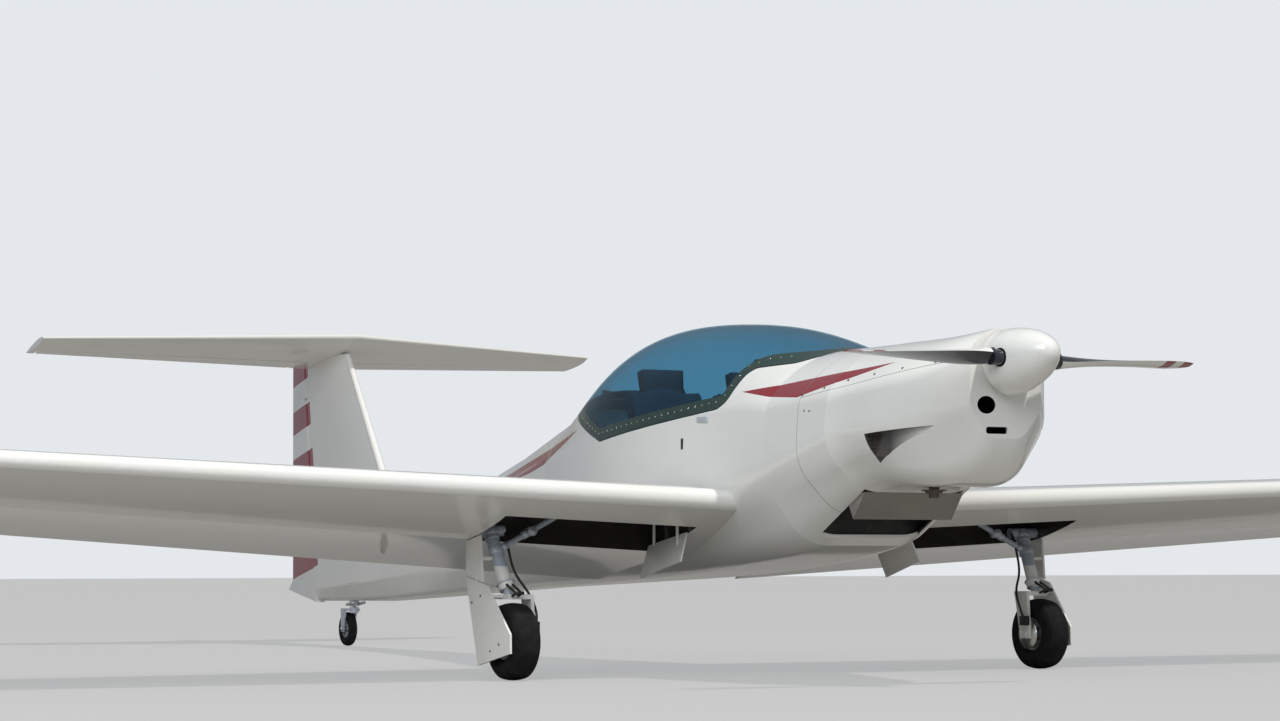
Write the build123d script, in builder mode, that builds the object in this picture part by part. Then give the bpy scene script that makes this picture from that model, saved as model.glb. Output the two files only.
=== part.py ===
"""Two-seat motor glider with folding wings, parked on its three wheels.

Millimetres. +X is the aircraft's left, +Y runs to the tail and +Z is up. The origin is on the
ground under the middle of the length. Stations in the tables count from the main axle.
"""
import os
from collections import namedtuple
from math import cos, hypot, radians, sin

from build123d import *

os.makedirs("parts", exist_ok=True)

# Overall layout and shared clearances
MAIN_AXLE_Y = -1967
RUN_GAP = 5
SEAT_GAP = 0.3
PIN_CLEARANCE = 0.1
SKIN = 12
GLASS = 6


def aft(station):
    """Turn a station behind the main axle into a Y value."""
    return MAIN_AXLE_Y + station


def upright(y):
    """A crosswise plane at one Y value, its own X to the left and its own Y up."""
    return Plane(origin=(0, y, 0), x_dir=(1, 0, 0), z_dir=(0, -1, 0))


def lengthwise(x):
    """A lengthwise plane at one X value, its own X to the tail and its own Y up."""
    return Plane(origin=(x, 0, 0), x_dir=(0, 1, 0), z_dir=(1, 0, 0))


def bar(start, end, radius, mode=Mode.ADD):
    """A round bar between two points, added to the part being built or cut from it."""
    start, end = Vector(*start), Vector(*end)
    with BuildSketch(Plane(start, z_dir=end - start)) as disc:
        Circle(radius)
    extrude(disc.sketch, amount=(end - start).length, mode=mode)


def block(low, high, mode=Mode.ADD):
    """A box between its lowest and highest corners, added to the part or cut from it."""
    low, high = Vector(*low), Vector(*high)
    with BuildSketch(Plane.XY.offset(low.Z)) as base:
        with Locations(((low.X + high.X) / 2, (low.Y + high.Y) / 2)):
            Rectangle(high.X - low.X, high.Y - low.Y)
    extrude(base.sketch, amount=high.Z - low.Z, mode=mode)


def plate(x, outline, thickness, mode=Mode.ADD):
    """A lengthwise plate at one X value from an outline of stations and heights."""
    with BuildSketch(lengthwise(x)) as side:
        Polygon(*[(aft(s), z) for s, z in outline], align=None)
    extrude(side.sketch, amount=thickness, mode=mode)


def mirrored(left):
    """The right-hand twin of a left-hand piece."""
    with BuildPart() as right:
        mirror(left.part, about=Plane.YZ)
    return right


def write(piece, name):
    piece.part.label = name
    export_step(piece.part, f"parts/{name}.step")


def write_pair(left, name):
    write(left, f"{name}_left")
    write(mirrored(left), f"{name}_right")


# Flying-surface profiles, each arc by three points: share of the chord, height as a share of it
WING_PROFILE = {
    "top_front": ((0.040, 0.041), (0.180, 0.086), (0.400, 0.108)),
    "top_rear": ((0.400, 0.108), (0.700, 0.074), (1.000, 0.002)),
    "low_front": ((0.030, -0.022), (0.200, -0.047), (0.420, -0.053)),
    "low_rear": ((0.420, -0.053), (0.720, -0.016), (1.000, -0.002)),
    "nose": ((0.030, -0.022), (0.000, 0.004), (0.040, 0.041)),
}
TAIL_PROFILE = {
    "top_front": ((0.030, 0.020), (0.160, 0.046), (0.350, 0.055)),
    "top_rear": ((0.350, 0.055), (0.700, 0.036), (1.000, 0.003)),
    "low_front": ((0.030, -0.020), (0.160, -0.046), (0.350, -0.055)),
    "low_rear": ((0.350, -0.055), (0.700, -0.036), (1.000, -0.003)),
    "nose": ((0.030, -0.020), (0.000, 0.000), (0.030, 0.020)),
}
Section = namedtuple("Section", "plane chord profile thin", defaults=(1.0,))


def arc_height(arc, share):
    """Height of a three-point arc of the profile at a share of the chord."""
    (x1, y1), (x2, y2), (x3, y3) = arc
    det = 2 * (x1 * (y2 - y3) + x2 * (y3 - y1) + x3 * (y1 - y2))
    s1, s2, s3 = x1**2 + y1**2, x2**2 + y2**2, x3**2 + y3**2
    cx = (s1 * (y2 - y3) + s2 * (y3 - y1) + s3 * (y1 - y2)) / det
    cy = (s1 * (x3 - x2) + s2 * (x1 - x3) + s3 * (x2 - x1)) / det
    rise = (hypot(x1 - cx, y1 - cy) ** 2 - (share - cx) ** 2) ** 0.5
    return cy + rise if y2 > cy else cy - rise


def heights(section, share):
    """Upper and lower surface heights in millimetres behind the thickest point."""
    scale = section.chord * section.thin
    top = arc_height(section.profile["top_rear"], share) * scale
    low = arc_height(section.profile["low_rear"], share) * scale
    return top, low


def spot(section, share, height):
    """The point of a section at a share of the chord and a height in millimetres."""
    return section.plane.from_local_coords(Vector(share * section.chord, height, 0))


def hinge_point(section, hinge):
    top, low = heights(section, hinge)
    return spot(section, hinge, (top + low) / 2)


def whole(section):
    """The face of a whole section."""
    chord = section.chord
    scale = chord * section.thin
    with BuildSketch(section.plane) as face:
        with BuildLine():
            for arc in section.profile.values():
                ThreePointArc(*[(chord * share, scale * height) for share, height in arc])
            edge = scale * section.profile["top_rear"][2][1]
            Line((chord, -edge), (chord, edge))
        make_face()
    return face.sketch


def behind(section, hinge):
    """The face of a control surface: the section behind its hinge, with a round nose."""
    chord = section.chord
    middle = (hinge + 1) / 2
    top, low = heights(section, hinge)
    top_middle, low_middle = heights(section, middle)
    edge = chord * section.thin * section.profile["top_rear"][2][1]
    nose = (top - low) / 2
    with BuildSketch(section.plane) as face:
        with BuildLine():
            ThreePointArc((chord * hinge, top), (chord * middle, top_middle), (chord, edge))
            Line((chord, edge), (chord, -edge))
            ThreePointArc((chord, -edge), (chord * middle, low_middle), (chord * hinge, low))
            ThreePointArc(
                (chord * hinge, low), (chord * hinge - nose, (top + low) / 2), (chord * hinge, top)
            )
        make_face()
    return face.sketch


def cove(section, hinge):
    """The region that the fixed surface leaves free for a control surface."""
    top, low = heights(section, hinge)
    front = section.chord * hinge - (top - low) / 2 - RUN_GAP
    with BuildSketch(section.plane) as face:
        with Locations((front, 0)):
            Rectangle(section.chord, section.chord, align=(Align.MIN, Align.CENTER))
    return face.sketch


# Wing
WING_ANGLE = 12.8
WING_ROOT_X = 500
WING_LEAD_STATION = -368
WING_LEAD_Z = 765
WING_CHORD = 1510
WING_TAPER = 0.1146
WING_SWEEP = 0.0175
WING_RISE = 0.0405
WING_START_X = 380
FOLD_X = 5075
TIP_X = 8640
TIP_CAP = 95


def wing_at(x):
    """The wing section at one span station."""
    out = x - WING_ROOT_X
    turn = radians(WING_ANGLE)
    lead = (x, aft(WING_LEAD_STATION) + WING_SWEEP * out, WING_LEAD_Z + WING_RISE * out)
    plane = Plane(lead, x_dir=(0, cos(turn), -sin(turn)), z_dir=(1, 0, 0))
    return Section(plane, WING_CHORD - WING_TAPER * out, WING_PROFILE)


# Hull sections: station, top height, then half-width and height of shoulder, chine and keel
HullRow = namedtuple("HullRow", "station top shoulder_x shoulder_z chine_x chine_z keel_x keel_z")
NOSE_ROWS = [
    HullRow(-1655, 1452, 178, 1345, 174, 1122, 84, 1002),
    HullRow(-1590, 1447, 240, 1300, 236, 1090, 110, 905),
    HullRow(-1480, 1438, 312, 1260, 318, 1055, 170, 835),
    HullRow(-1250, 1430, 385, 1220, 402, 1020, 230, 815),
    HullRow(-1000, 1427, 438, 1195, 458, 965, 262, 797),
]
SEAM_STATION = -820
COWL_REAR_ROW = HullRow(SEAM_STATION - SEAT_GAP, 1427, 462, 1182, 482, 912, 274, 700)
CABIN_FRONT_ROW = COWL_REAR_ROW._replace(station=SEAM_STATION)
BODY_ROWS = [
    HullRow(-590, 1427, 485, 1165, 510, 850, 288, 575),
    HullRow(-300, 1508, 520, 1150, 540, 770, 300, 525),
    HullRow(150, 1586, 555, 1130, 565, 690, 300, 478),
    HullRow(650, 1608, 560, 1110, 555, 640, 270, 440),
    HullRow(1100, 1520, 500, 1060, 495, 610, 225, 418),
    HullRow(1420, 1354, 446, 1021, 437, 598, 198, 405),
    HullRow(1620, 1270, 408, 992, 396, 590, 180, 397),
]
BOOM_ROWS = [
    BODY_ROWS[-1],
    HullRow(2300, 1084, 308, 870, 285, 540, 130, 370),
    HullRow(3300, 856, 175, 708, 170, 460, 80, 320),
    HullRow(4300, 700, 104, 612, 102, 400, 50, 275),
    HullRow(5460, 640, 42, 580, 42, 330, 22, 262),
]
CABIN_END_STATION = 1612
SHOULDER_ROUND = 0.26
CHINE_ROUND = 0.45
KEEL_ROUND = 0.50


def hull_section(row, inset=0.0):
    """One crosswise section: flat keel, slanted lower side, upright side and an arched top."""
    with BuildSketch(upright(aft(row.station))) as section:
        with BuildLine():
            Polyline(
                (row.shoulder_x, row.shoulder_z),
                (row.chine_x, row.chine_z),
                (row.keel_x, row.keel_z),
                (-row.keel_x, row.keel_z),
                (-row.chine_x, row.chine_z),
                (-row.shoulder_x, row.shoulder_z),
            )
            ThreePointArc((-row.shoulder_x, row.shoulder_z), (0, row.top), (row.shoulder_x, row.shoulder_z))
        make_face()
        for height, share in (
            (row.shoulder_z, SHOULDER_ROUND),
            (row.chine_z, CHINE_ROUND),
            (row.keel_z, KEEL_ROUND),
        ):
            corners = section.vertices().filter_by(lambda v, z=height: abs(v.Y - z) < 0.5)
            fillet(corners, share * row.chine_x)
        if inset:
            offset(amount=-inset, mode=Mode.REPLACE)
    return section.sketch


def hull(smooth_rows, straight_tables, inset=0.0):
    """A smooth loft through one table of sections, met by straight lofts through others."""
    with BuildPart() as form:
        loft([hull_section(row, inset) for row in smooth_rows])
        for rows in straight_tables:
            loft([hull_section(row, inset) for row in rows], ruled=True)
    return form.part


# Canopy outline in side view: station and height, from the front over the sill to the rear bow
CANOPY_LINE = [
    (-660, 1520),
    (-605, 1405),
    (-540, 1366),
    (-318, 1350),
    (-285, 1205),
    (-235, 1174),
    (798, 1067),
    (1340, 1230),
    (1510, 1330),
    (1560, 1450),
]
CANOPY_ROUNDS = [30, 100, 60, 60, 60, 30, 500, 90]
CANOPY_TOP_Z = 1750
FRAME_WIDTH = 58
HULL_HALF_WIDTH = 900


def canopy_region(grow):
    """The side-view region of the canopy, grown or shrunk, as a prism right across the hull."""
    line = [(aft(s), z) for s, z in CANOPY_LINE]
    with BuildPart() as prism:
        with BuildSketch(lengthwise(-HULL_HALF_WIDTH)):
            with BuildLine():
                edge = FilletPolyline(*line, radius=CANOPY_ROUNDS)
                Polyline(edge @ 1, (line[-1][0], CANOPY_TOP_Z), (line[0][0], CANOPY_TOP_Z), edge @ 0)
            make_face()
            if grow:
                offset(amount=grow, kind=Kind.INTERSECTION, mode=Mode.REPLACE)
        extrude(amount=2 * HULL_HALF_WIDTH)
    return prism.part


cabin_cut = Plane(origin=(0, aft(CABIN_END_STATION), 0), z_dir=(0, 1, 0))
NOSE_LINK = [CABIN_FRONT_ROW, BODY_ROWS[0]]
body_form = hull(BODY_ROWS, [NOSE_LINK, BOOM_ROWS])


def cabin(inset):
    """The inside of the cabin at one wall thickness."""
    with BuildPart() as form:
        add(hull(BODY_ROWS, [NOSE_LINK], inset))
        split(bisect_by=cabin_cut, keep=Keep.BOTTOM)
    return form.part


with BuildPart() as cabin_form:
    add(body_form)
    split(bisect_by=cabin_cut, keep=Keep.BOTTOM)
cabin_outer = cabin_form.part
cabin_inner = cabin(SKIN)
cabin_glass = cabin(GLASS)
cabin_clear = cabin(SKIN + RUN_GAP + 3)
canopy_grown = canopy_region(RUN_GAP)
canopy_inner_region = canopy_region(-FRAME_WIDTH)

# Space inside the cabin that fixed pieces may fill without touching the canopy
FIREWALL_STATION = -640
BULKHEAD_STATION = 1600
with BuildPart() as cabin_space:
    add(cabin_inner)
    add(canopy_grown, mode=Mode.SUBTRACT)
    add(cabin_clear)

# Canopy hinge behind the rear bow
CANOPY_HINGE_STATION = 1538
CANOPY_HINGE_Z = 1342
CANOPY_LUG_X = 110
LUG_WIDTH = 14
LUG_RADIUS = 11
LUG_PIN_RADIUS = 4
LUG_SIDE_GAP = 1


def lug(x, width, axis, foot):
    """A lug: a round eye hulled to a foot, each given by station and height."""
    with BuildSketch(lengthwise(x)) as side:
        with Locations((aft(axis[0]), axis[1])):
            Circle(LUG_RADIUS)
        with Locations((aft(foot[0]), foot[1])):
            Rectangle(24, 26)
        make_hull()
    extrude(side.sketch, amount=width)


# Exit under the nose: an opening in cowl and cabin behind a hinged flap
FLAP_STATION = -1000
EXIT_REAR_STATION = -655
EXIT_HALF_WIDTH = 250
EXIT_LOW_Z = 450
EXIT_HIGH_Z = 840

with BuildPart() as cabin_hollow:
    add(cabin_inner)
    split(bisect_by=Plane(origin=(0, aft(BULKHEAD_STATION), 0), z_dir=(0, 1, 0)), keep=Keep.BOTTOM)

with BuildPart() as cabin_shell:
    add(cabin_outer)
    add(canopy_grown, mode=Mode.SUBTRACT)
    for side in (-1, 1):
        start = side * CANOPY_LUG_X - LUG_WIDTH / 2
        lug(start, LUG_WIDTH, (CANOPY_HINGE_STATION, CANOPY_HINGE_Z), (1554, 1290))
    add(cabin_hollow.part, mode=Mode.SUBTRACT)
    block(
        (-EXIT_HALF_WIDTH, aft(SEAM_STATION) - 10, EXIT_LOW_Z),
        (EXIT_HALF_WIDTH, aft(EXIT_REAR_STATION), EXIT_HIGH_Z),
        Mode.SUBTRACT,
    )
    for side in (-1, 1):
        pin_from = side * CANOPY_LUG_X
        pin_to = pin_from + side * (LUG_WIDTH * 1.5 + LUG_SIDE_GAP)
        hinge = (aft(CANOPY_HINGE_STATION), CANOPY_HINGE_Z)
        bar((pin_from, *hinge), (pin_to, *hinge), LUG_PIN_RADIUS)
write(cabin_shell, "cabin_shell")

with BuildPart() as canopy_frame:
    add(cabin_outer)
    add(canopy_region(0), mode=Mode.INTERSECT)
    add(canopy_inner_region, mode=Mode.SUBTRACT)
    for side in (-1, 1):
        middle = side * (CANOPY_LUG_X + LUG_WIDTH + LUG_SIDE_GAP)
        lug(middle - LUG_WIDTH / 2, LUG_WIDTH, (CANOPY_HINGE_STATION, CANOPY_HINGE_Z), (1468, 1330))
    add(cabin_inner, mode=Mode.SUBTRACT)
    for side in (-1, 1):
        middle = side * (CANOPY_LUG_X + LUG_WIDTH + LUG_SIDE_GAP)
        hinge = (aft(CANOPY_HINGE_STATION), CANOPY_HINGE_Z)
        bar((middle - LUG_WIDTH, *hinge), (middle + LUG_WIDTH, *hinge), LUG_PIN_RADIUS + PIN_CLEARANCE, Mode.SUBTRACT)
write(canopy_frame, "canopy_frame")

with BuildPart() as canopy_glass:
    add(cabin_outer)
    add(cabin_glass, mode=Mode.SUBTRACT)
    add(canopy_inner_region, mode=Mode.INTERSECT)
write(canopy_glass, "canopy_glass")

# Inside the cabin
FLOOR_Z = 700
FLOOR_THICK = 12
SEAT_BASE_Z = 800
PANEL_STATION = -300
PANEL_TOP_Z = 1385
SHELF_Z = 1085


def fitted(low, high):
    """A box between two corners, cut to the cabin's inside."""
    with BuildPart() as fill:
        block(low, high)
        add(cabin_space.part, mode=Mode.INTERSECT)
    return fill.part


with BuildPart() as firewall:
    add(fitted((-600, aft(FIREWALL_STATION), 500), (600, aft(FIREWALL_STATION) + SKIN, 1450)))
write(firewall, "firewall")

with BuildPart() as cockpit_floor:
    add(fitted((-600, aft(FIREWALL_STATION) + SKIN, FLOOR_Z), (600, aft(1150), FLOOR_Z + FLOOR_THICK)))
write(cockpit_floor, "cockpit_floor")

with BuildPart() as seat_base:
    block((-430, aft(-40), FLOOR_Z + FLOOR_THICK), (430, aft(640), SEAT_BASE_Z))
write(seat_base, "seat_base")

with BuildPart() as instrument_panel:
    add(fitted((-600, aft(PANEL_STATION), 960), (600, aft(PANEL_STATION) + 14, PANEL_TOP_Z)))
    add(fitted((-480, aft(-560), PANEL_TOP_Z), (480, aft(PANEL_STATION) + 60, PANEL_TOP_Z + 10)))
    block((-70, aft(PANEL_STATION), FLOOR_Z + FLOOR_THICK), (70, aft(PANEL_STATION) + 130, 960))
write(instrument_panel, "instrument_panel")

with BuildPart() as baggage_shelf:
    add(fitted((-600, aft(860), SHELF_Z), (600, aft(BULKHEAD_STATION), SHELF_Z + 10)))
write(baggage_shelf, "baggage_shelf")

# Seats: one padded side outline each
SEAT_X = 240
SEAT_WIDTH = 420
SEAT_BOTTOM_Z = SEAT_BASE_Z + SEAT_GAP
SEAT_OUTLINE = [
    (40, SEAT_BOTTOM_Z),
    (560, SEAT_BOTTOM_Z),
    (650, 960),
    (800, 1300),
    (716, 1310),
    (540, 930),
    (60, 960),
]
HEADREST_WIDTH = 230
HEADREST_OUTLINE = [(740, 1270), (800, 1270), (810, 1420), (750, 1430)]
with BuildPart() as seat_left:
    with BuildSketch(lengthwise(SEAT_X - SEAT_WIDTH / 2)) as side:
        Polygon(*[(aft(s), z) for s, z in SEAT_OUTLINE], align=None)
        fillet(side.vertices(), 18)
    extrude(amount=SEAT_WIDTH)
    plate(SEAT_X - HEADREST_WIDTH / 2, HEADREST_OUTLINE, HEADREST_WIDTH)
write_pair(seat_left, "seat")

with BuildPart() as control_sticks:
    for x in (-SEAT_X, SEAT_X):
        bar((x, aft(-110), FLOOR_Z + FLOOR_THICK), (x, aft(-110), FLOOR_Z + FLOOR_THICK + 24), 34)
        bar((x, aft(-110), FLOOR_Z + FLOOR_THICK + 12), (x, aft(-60), 1000), 11)
        bar((x, aft(-62), 990), (x, aft(-52), 1090), 18)
    tube_z = FLOOR_Z + FLOOR_THICK + 13
    bar((-SEAT_X, aft(-110), tube_z), (SEAT_X, aft(-110), tube_z), 12)
write(control_sticks, "control_sticks")

# Cowl: a hollow loft split along a line that climbs to the nose, with inlets and an open exit
SPLIT_REAR_Z = 1177
SPLIT_FRONT_Z = 1325
COWL_FRONT_Y = aft(-1700)
COWL_REAR_Y = aft(-700)
OIL_INLET = (-96, 1136)
OIL_INLET_RADIUS = 36
OIL_INLET_TURN = 35
SLOT_CENTRE = (-44, 1034)
SHAFT_RADIUS = 35
SHAFT_HOLE_RADIUS = 75
SPINNER_BASE = Vector(0, aft(-1683), 1306)
THRUST_TILT = 7.5
THRUST = Vector(0, -cos(radians(THRUST_TILT)), sin(radians(THRUST_TILT)))
SHAFT_BACK = SPINNER_BASE - THRUST * 260
COWL_LINK = [NOSE_ROWS[-1], COWL_REAR_ROW]
cowl_outer = hull(NOSE_ROWS, [COWL_LINK])
with BuildPart() as cowl_hollow:
    add(hull(NOSE_ROWS, [COWL_LINK], SKIN))
    front_wall = Plane(origin=(0, aft(NOSE_ROWS[0].station) + SKIN, 0), z_dir=(0, 1, 0))
    split(bisect_by=front_wall, keep=Keep.TOP)
cowl_inner = cowl_hollow.part
with BuildPart() as above_split:
    with BuildSketch(lengthwise(-HULL_HALF_WIDTH)):
        Polygon(
            (COWL_REAR_Y, SPLIT_REAR_Z),
            (COWL_FRONT_Y, SPLIT_FRONT_Z),
            (COWL_FRONT_Y, CANOPY_TOP_Z),
            (COWL_REAR_Y, CANOPY_TOP_Z),
            align=None,
        )
    extrude(amount=2 * HULL_HALF_WIDTH)

with BuildPart() as cowl_upper:
    add(cowl_outer)
    add(cowl_inner, mode=Mode.SUBTRACT)
    add(above_split.part, mode=Mode.INTERSECT)
    bar(SHAFT_BACK, SPINNER_BASE + THRUST * 50, SHAFT_HOLE_RADIUS, Mode.SUBTRACT)
write(cowl_upper, "cowl_upper")

# Side scoops: a wedge-shaped pocket that runs in flush at the front and is deepest at the rear
SCOOP_SIDE = [(-1560, 1057), (-1219, 1028), (-1217, 907), (-1377, 979)]
SCOOP_FLOOR = [(-1560, 262), (-1217, 340)]
SCOOP_WALL = 5


def scoop(wall):
    """The pocket of the right-hand scoop, or with a wall its lining."""
    with BuildPart() as form:
        with BuildSketch(lengthwise(-HULL_HALF_WIDTH)):
            Polygon(*[(aft(s), z) for s, z in SCOOP_SIDE], align=None)
            if wall:
                offset(amount=wall, kind=Kind.INTERSECTION, mode=Mode.REPLACE)
        extrude(amount=HULL_HALF_WIDTH)
        with BuildSketch(Plane.XY.offset(SCOOP_SIDE[2][1] - 20)):
            inner = [(wall - x, aft(s)) for s, x in SCOOP_FLOOR]
            outer = [(-HULL_HALF_WIDTH, aft(s) + grow) for s, grow in ((-1217, wall), (-1560, -wall))]
            rear = (inner[1][0], inner[1][1] + wall)
            Polygon(inner[0], inner[1], rear, *outer, align=None)
        extrude(amount=200, mode=Mode.INTERSECT)
    return form.part


with BuildPart() as scoop_linings:
    for wall_side in (scoop(SCOOP_WALL), mirror(scoop(SCOOP_WALL), about=Plane.YZ)):
        add(wall_side)
    add(cowl_outer, mode=Mode.INTERSECT)

PIPE_STATION = -1144
PIPE_RADIUS = 22
with BuildPart() as cowl_lower:
    add(cowl_outer)
    add(cowl_inner, mode=Mode.SUBTRACT)
    add(scoop_linings.part)
    add(scoop(0), mode=Mode.SUBTRACT)
    add(mirror(scoop(0), about=Plane.YZ), mode=Mode.SUBTRACT)
    add(above_split.part, mode=Mode.SUBTRACT)
    bar(SHAFT_BACK, SPINNER_BASE + THRUST * 50, SHAFT_HOLE_RADIUS, Mode.SUBTRACT)
    inlet = Vector(OIL_INLET[0], aft(NOSE_ROWS[0].station), OIL_INLET[1])
    inward = Vector(sin(radians(OIL_INLET_TURN)), cos(radians(OIL_INLET_TURN)), 0)
    bar(inlet - inward * 80, inlet + inward * 80, OIL_INLET_RADIUS, Mode.SUBTRACT)
    with BuildSketch(upright(aft(-1560))) as slot:
        with Locations(SLOT_CENTRE):
            Rectangle(108, 28)
        fillet(slot.vertices(), 11)
    extrude(slot.sketch, amount=150, mode=Mode.SUBTRACT)
    block(
        (-EXIT_HALF_WIDTH, aft(FLAP_STATION), EXIT_LOW_Z),
        (EXIT_HALF_WIDTH, aft(SEAM_STATION) + 20, EXIT_HIGH_Z),
        Mode.SUBTRACT,
    )
    bar((0, aft(PIPE_STATION), 700), (0, aft(PIPE_STATION), 900), PIPE_RADIUS + 3, Mode.SUBTRACT)
write(cowl_lower, "cowl_lower")

# Flap that hangs at the exit's front edge, with a cheek at each end
FLAP_TOP = (FLAP_STATION + 1, 797)
FLAP_LOW = (-910, 684)
FLAP_THICK = 4
CHEEK_REAR = (-860, 770)
FLAP_HALF_WIDTH = EXIT_HALF_WIDTH - SEAT_GAP
with BuildPart() as exit_flap:
    flap_outline = [
        FLAP_TOP,
        FLAP_LOW,
        (FLAP_LOW[0] + FLAP_THICK, FLAP_LOW[1] + FLAP_THICK),
        (FLAP_TOP[0] + FLAP_THICK + 2, FLAP_TOP[1]),
    ]
    plate(-FLAP_HALF_WIDTH, flap_outline, 2 * FLAP_HALF_WIDTH)
    for x in (-FLAP_HALF_WIDTH, FLAP_HALF_WIDTH - FLAP_THICK):
        plate(x, [FLAP_TOP, FLAP_LOW, CHEEK_REAR], FLAP_THICK)
write(exit_flap, "exit_flap")

# Engine: one plain block on tubes from the firewall, with the shaft that carries the propeller
ENGINE_FRONT_STATION = -1390
ENGINE_REAR_STATION = -840
ENGINE_HALF_WIDTH = 250
ENGINE_LOW_Z = 925
ENGINE_HIGH_Z = 1290
MOUNT_TUBE_RADIUS = 11
with BuildPart() as engine_block:
    block(
        (-ENGINE_HALF_WIDTH, aft(ENGINE_FRONT_STATION), ENGINE_LOW_Z),
        (ENGINE_HALF_WIDTH, aft(ENGINE_REAR_STATION), ENGINE_HIGH_Z),
    )
    for x in (-ENGINE_HALF_WIDTH + 40, ENGINE_HALF_WIDTH - 40):
        for z in (ENGINE_LOW_Z + 40, ENGINE_HIGH_Z - 40):
            bar((x, aft(ENGINE_REAR_STATION) - 5, z), (x, aft(FIREWALL_STATION), z), MOUNT_TUBE_RADIUS)
    bar(SHAFT_BACK - THRUST * 60, SPINNER_BASE + THRUST * 28, SHAFT_RADIUS)
write(engine_block, "engine_block")

with BuildPart() as exhaust_pipe:
    bar((0, aft(PIPE_STATION), 772), (0, aft(PIPE_STATION), ENGINE_LOW_Z - SEAT_GAP), PIPE_RADIUS)
    bar((0, aft(PIPE_STATION), 772), (0, aft(PIPE_STATION), 880), PIPE_RADIUS - 3, Mode.SUBTRACT)
write(exhaust_pipe, "exhaust_pipe")

# Spinner: a thin nose shell and its back plate, on the shaft
SPINNER_RADIUS = 134
SPINNER_LENGTH = 300
SPINNER_SHELL = 4
TIP_FLAT = 3
BLADE_OFFSET = 100
BLADE_ROOT_RADIUS = 32
BACK_PLATE = 8
HUB_RADIUS = 62
thrust_side = Plane(SPINNER_BASE, x_dir=(1, 0, 0), z_dir=Vector(1, 0, 0).cross(THRUST))
BLADE_CENTRE = SPINNER_BASE + THRUST * BLADE_OFFSET


def nose_shape(radius, length):
    """A pointed round form turned about the thrust line."""
    shoulder = (radius * 0.84, length * 0.50)
    brow = (radius * 0.40, length * 0.90)
    with BuildPart() as form:
        with BuildSketch(thrust_side) as half:
            with BuildLine():
                Line((0, 0), (radius, 0))
                ThreePointArc((radius, 0), (radius * 0.965, length * 0.25), shoulder)
                ThreePointArc(shoulder, (radius * 0.65, length * 0.725), brow)
                ThreePointArc(brow, (radius * 0.22, length * 0.972), (TIP_FLAT, length))
                Line((TIP_FLAT, length), (0, length))
                Line((0, length), (0, 0))
            make_face()
        revolve(half.sketch, axis=Axis(SPINNER_BASE, THRUST))
    return form.part


with BuildPart() as spinner_hollow:
    add(nose_shape(SPINNER_RADIUS - SPINNER_SHELL, SPINNER_LENGTH - SPINNER_SHELL))
    split(bisect_by=Plane(SPINNER_BASE + THRUST * BACK_PLATE, z_dir=THRUST), keep=Keep.TOP)
with BuildPart() as spinner:
    add(nose_shape(SPINNER_RADIUS, SPINNER_LENGTH))
    add(spinner_hollow.part, mode=Mode.SUBTRACT)
    bar(BLADE_CENTRE + Vector(-200, 0, 0), BLADE_CENTRE + Vector(200, 0, 0), BLADE_ROOT_RADIUS + 6, Mode.SUBTRACT)
    bar(SPINNER_BASE - THRUST * 10, SPINNER_BASE + THRUST * 20, SHAFT_RADIUS + PIN_CLEARANCE, Mode.SUBTRACT)
write(spinner, "spinner")

# Propeller at its feathered setting. Columns: radius, chord, thickness share, angle to the disc
BladeRow = namedtuple("BladeRow", "radius chord thick angle")
BLADE_ROWS = [
    BladeRow(150, 74, 0.80, 116),
    BladeRow(260, 112, 0.34, 108),
    BladeRow(440, 134, 0.17, 96),
    BladeRow(640, 122, 0.12, 88),
    BladeRow(780, 96, 0.10, 83),
    BladeRow(848, 52, 0.09, 81),
]
disc_up = THRUST.cross(Vector(1, 0, 0)) * -1
if disc_up.Z < 0:
    disc_up = disc_up * -1


def blade_section(row):
    """A cambered blade section of the right-hand blade, leading edge forward."""
    turn = radians(row.angle)
    to_lead = THRUST * sin(turn) - disc_up * cos(turn)
    centre = BLADE_CENTRE - Vector(row.radius, 0, 0)
    chord, deep = row.chord, row.chord * row.thick
    with BuildSketch(Plane(centre, x_dir=to_lead, z_dir=(-1, 0, 0))) as face:
        with BuildLine():
            ThreePointArc((-0.6 * chord, 0), (0.05 * chord, 0.75 * deep), (0.4 * chord, 0))
            ThreePointArc((-0.6 * chord, 0), (0.05 * chord, -0.25 * deep), (0.4 * chord, 0))
        make_face()
    return face.sketch


with BuildPart() as blade_right:
    loft([blade_section(row) for row in BLADE_ROWS])
    bar(BLADE_CENTRE, BLADE_CENTRE - Vector(BLADE_ROWS[0].radius + 15, 0, 0), BLADE_ROOT_RADIUS)
with BuildPart() as propeller:
    add(blade_right.part)
    add(blade_right.part.rotate(Axis(SPINNER_BASE, THRUST), 180))
    bar(SPINNER_BASE + THRUST * (BACK_PLATE + SEAT_GAP), SPINNER_BASE + THRUST * 160, HUB_RADIUS)
    bar(SPINNER_BASE, SPINNER_BASE + THRUST * 30, SHAFT_RADIUS + PIN_CLEARANCE, Mode.SUBTRACT)
write(propeller, "propeller")

# Inner wing with the wheel well in its underside and the airbrake slot in its top
WELL_IN_X = 575
WELL_OUT_X = 1500
WELL_FRONT = 225
WELL_REAR = 625
WELL_ROOF = 45
WELL_REFERENCE_X = 1000
BRAKE_IN_X = 2250
BRAKE_OUT_X = 3650
BRAKE_SHARE = 0.52
BRAKE_CAP_WIDTH = 34
BRAKE_CAP_DEPTH = 9
BRAKE_BLADE_WIDTH = 10
BRAKE_DEPTH = 118
TIE_DOWN_X = 1750
TIE_DOWN_STATION = 560
TIE_DOWN_Z = 556
TIE_DOWN_WIDTH = 10
TIE_DOWN_BORE = 8
well_section = wing_at(WELL_REFERENCE_X)
brake_section = wing_at((BRAKE_IN_X + BRAKE_OUT_X) / 2)


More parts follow.
